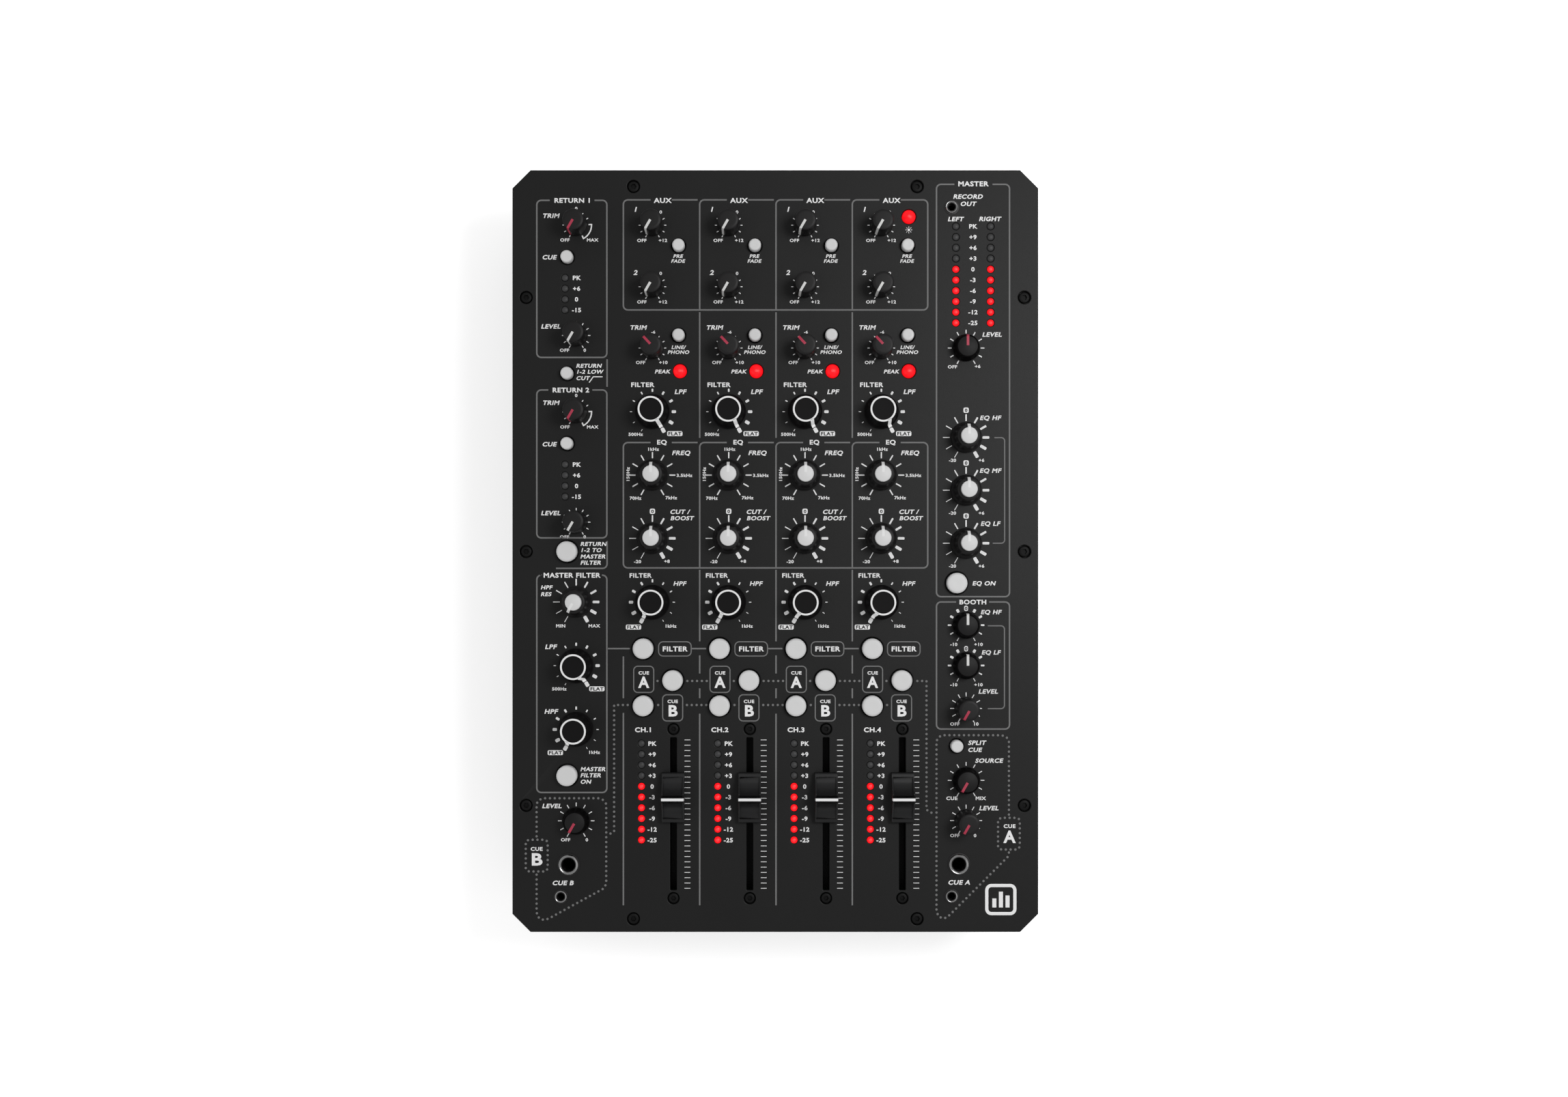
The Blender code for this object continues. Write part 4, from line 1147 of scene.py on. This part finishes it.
def make_feet():
    """Four turned rubber feet, each with a screw in its hollow."""
    for number, (x, y) in enumerate([(x, y) for x in (-95, 95) for y in (-150, 145)], start=1):
        ring(f"foot_{number}", "foot_rubber", [
            (4.2, 0.35), (4.6, 0), (9, 0), (9.8, 0.5), (10, 1.4), (9.4, 7.6), (9, 8), (2.2, 8),
            (2.2, 3.2), (4.2, 3.2)], at(x, y), 64)
        Shape().turned([(0, 1.5), (2.4, 1.9), (3.3, 2.6), (3.4, 3.1), (1.9, 3.1), (1.9, 9), (0, 9)],
                       at(x, y), 32).fit(f"foot_screw_{number}", "black_screw")


REAR = 168.0
LINE_JACKS = [(x, z) for x in (0, 16, 32, 48) for z in (24, 42)]
PHONOS = [(x, z) for x in (65, 77, 89, 101) for z in (19, 28.5, 38, 47.5)]
XLRS = [(-51, 33), (-23, 33)]
INLET = (-85, 33)


def rearward(x, z):
    """A place on the rear panel's outer face, with Z pointing out of the back and Y up."""
    return Matrix.Translation((x, REAR, z)) @ BACKWARDS


def face_back(mesh, y):
    """Stand a flat mesh up at y, facing out of the back."""
    mesh.transform(Matrix.Translation((0, y * MM, 0)) @ BACKWARDS)
    mesh.flip_normals()
    return mesh


def make_rear_sheet():
    holes = [circle(-x, z, 4.6) for x, z in LINE_JACKS] + [circle(-x, z, 4.3) for x, z in PHONOS]
    holes += [circle(-x, z, 10.6, 48) for x, z in XLRS]
    holes.append(rounded_box(-INLET[0] - 13.6, INLET[1] - 9.6, -INLET[0] + 13.6, INLET[1] + 9.6, 2))
    outline = rectangle(-panel_high.x, panel_low.z, -panel_low.x, panel_high.z)
    mesh = face_back(sheet_mesh("rear_sheet", outline, holes, -2, 0, 0.15), REAR)
    fit(mesh, "rear_sheet", "panel_paint", nodes=["rear_panel"])


def make_round_sockets():
    """The line jacks and the phono sockets, red and white by turns."""
    for number, (x, z) in enumerate(LINE_JACKS, start=1):
        ring(f"line_jack_{number}_nut", "bright_plate", [
            (3.5, 0.1), (6, 0.1), (6, 0.5), (5.6, 0.9), (5.4, 2), (5, 2.4), (3.9, 2.4), (3.5, 2)],
            rearward(x, z))
        ring(f"line_jack_{number}_barrel", "satin_black_plastic", [
            (3.25, -27), (6.2, -27), (6.2, -2.3), (3.48, -2.3), (3.48, 2.9), (3.25, 3)],
            rearward(x, z), 32)
    for number, (x, z) in enumerate(PHONOS, start=1):
        ring(f"phono_{number}_shell", "contact_metal", [
            (3.2, 0.2), (5.2, 0.2), (5.2, 1), (4.15, 1.2), (4.15, 9.3), (3.95, 9.6), (3.3, 9.6),
            (3.2, 9.3)], rearward(x, z), 40)
        ring(f"phono_{number}_insert", "red_ink" if number % 2 else "white_ink", [
            (1.6, -6), (4.2, -6), (4.2, 0.15), (3.18, 0.15), (3.18, 9), (1.7, 9), (1.6, 8.9)],
            rearward(x, z), 32)


def make_xlrs():
    """The two balanced outputs: flange, cup, three pins and two screws."""
    for number, (x, z) in enumerate(XLRS, start=1):
        place = rearward(x, z)
        flange = Shape().prism(rounded_box(-13, -15.5, 13, 15.5, 2.5), 0.05, 1.9, place)
        bore = Shape().turned([(9.2, -3), (9.2, 4)], place, 64)
        fit(carve(flange.mesh("flange"), bore.mesh("bore")), f"xlr_{number}_flange", "bright_plate")
        Shape().turned([(0, -20), (10.4, -20), (10.4, 0), (9.15, 0), (9.15, 1.7), (8.9, 1.9),
                        (8.9, -18), (0, -18)], place, 64).fit(f"xlr_{number}_cup", "satin_black_plastic")
        pins = Shape()
        for spot in ((-3.5, 0), (0, -3.5), (3.5, 0)):
            pins.turned([(1.2, -18.2), (1.2, -7.2), (0.8, -6.6), (0, -6.5)], place @ at(*spot), 20)
        pins.fit(f"xlr_{number}_pins", "contact_metal")
        fit_screws(f"xlr_{number}", 1.9, 0.9, [place @ Matrix.Translation((side * 9.6, side * 12.2, 2.7))
                                               for side in (-1, 1)])


def make_inlet():
    """The mains inlet: a rimmed body with its mouth cut out, and three blades."""
    place = rearward(*INLET)
    rim = Shape().prism(rounded_box(-15, -11.5, 15, 11.5, 3), 0.05, 2.2, place)
    rim.prism(rounded_box(-13.4, -9.4, 13.4, 9.4, 2.4), -20, 0.4, place)
    mouth = Shape().prism(rounded([(-12, -8), (12, -8), (12, 4.5), (8.5, 8), (-8.5, 8),
                                   (-12, 4.5)], 1.2), -18, 5, place)
    fit(carve(rim.mesh("inlet_rim"), mouth.mesh("inlet_mouth")), "mains_inlet_body", "satin_black_plastic")
    blades = Shape()
    for x, z in ((-7, -2), (0, 2), (7, -2)):
        blades.block((x - 1, z - 2, -18.5), (x + 1, z + 2, -6), place)
    blades.fit("mains_inlet_blades", "contact_metal")


def make_rear_printing():
    """Words beside the rear sockets, printed on the tray's back wall."""
    shape = Shape()
    labels(shape, [
        ("MAINS", 85, 10.5), ("R", 51, 10.5), ("MASTER", 37, 56), ("L", 23, 10.5),
        ("AUX / RETURN / BOOTH", -24, 56), ("1", -65, 10.8), ("2", -77, 10.8), ("3", -89, 10.8),
        ("4", -101, 10.8), ("LINE", -71, 56), ("PHONO", -95, 56),
    ], cap=2.3)
    fit(face_back(shape.mesh("rear_printing"), WALL_REAR - PLATE_TOP), "rear_printing", "white_ink")


# ---- the whole mixer

make_camera()
make_studio()
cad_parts["control_board"].material_slots[0].material = board_surface()
make_faceplate()
make_printing()
make_screws()
make_lamps()
make_jacks()
make_knobs()
make_keys()
make_faders()
make_tray()
make_underside()
make_feet()
make_rear_sheet()
make_round_sockets()
make_xlrs()
make_inlet()
make_rear_printing()
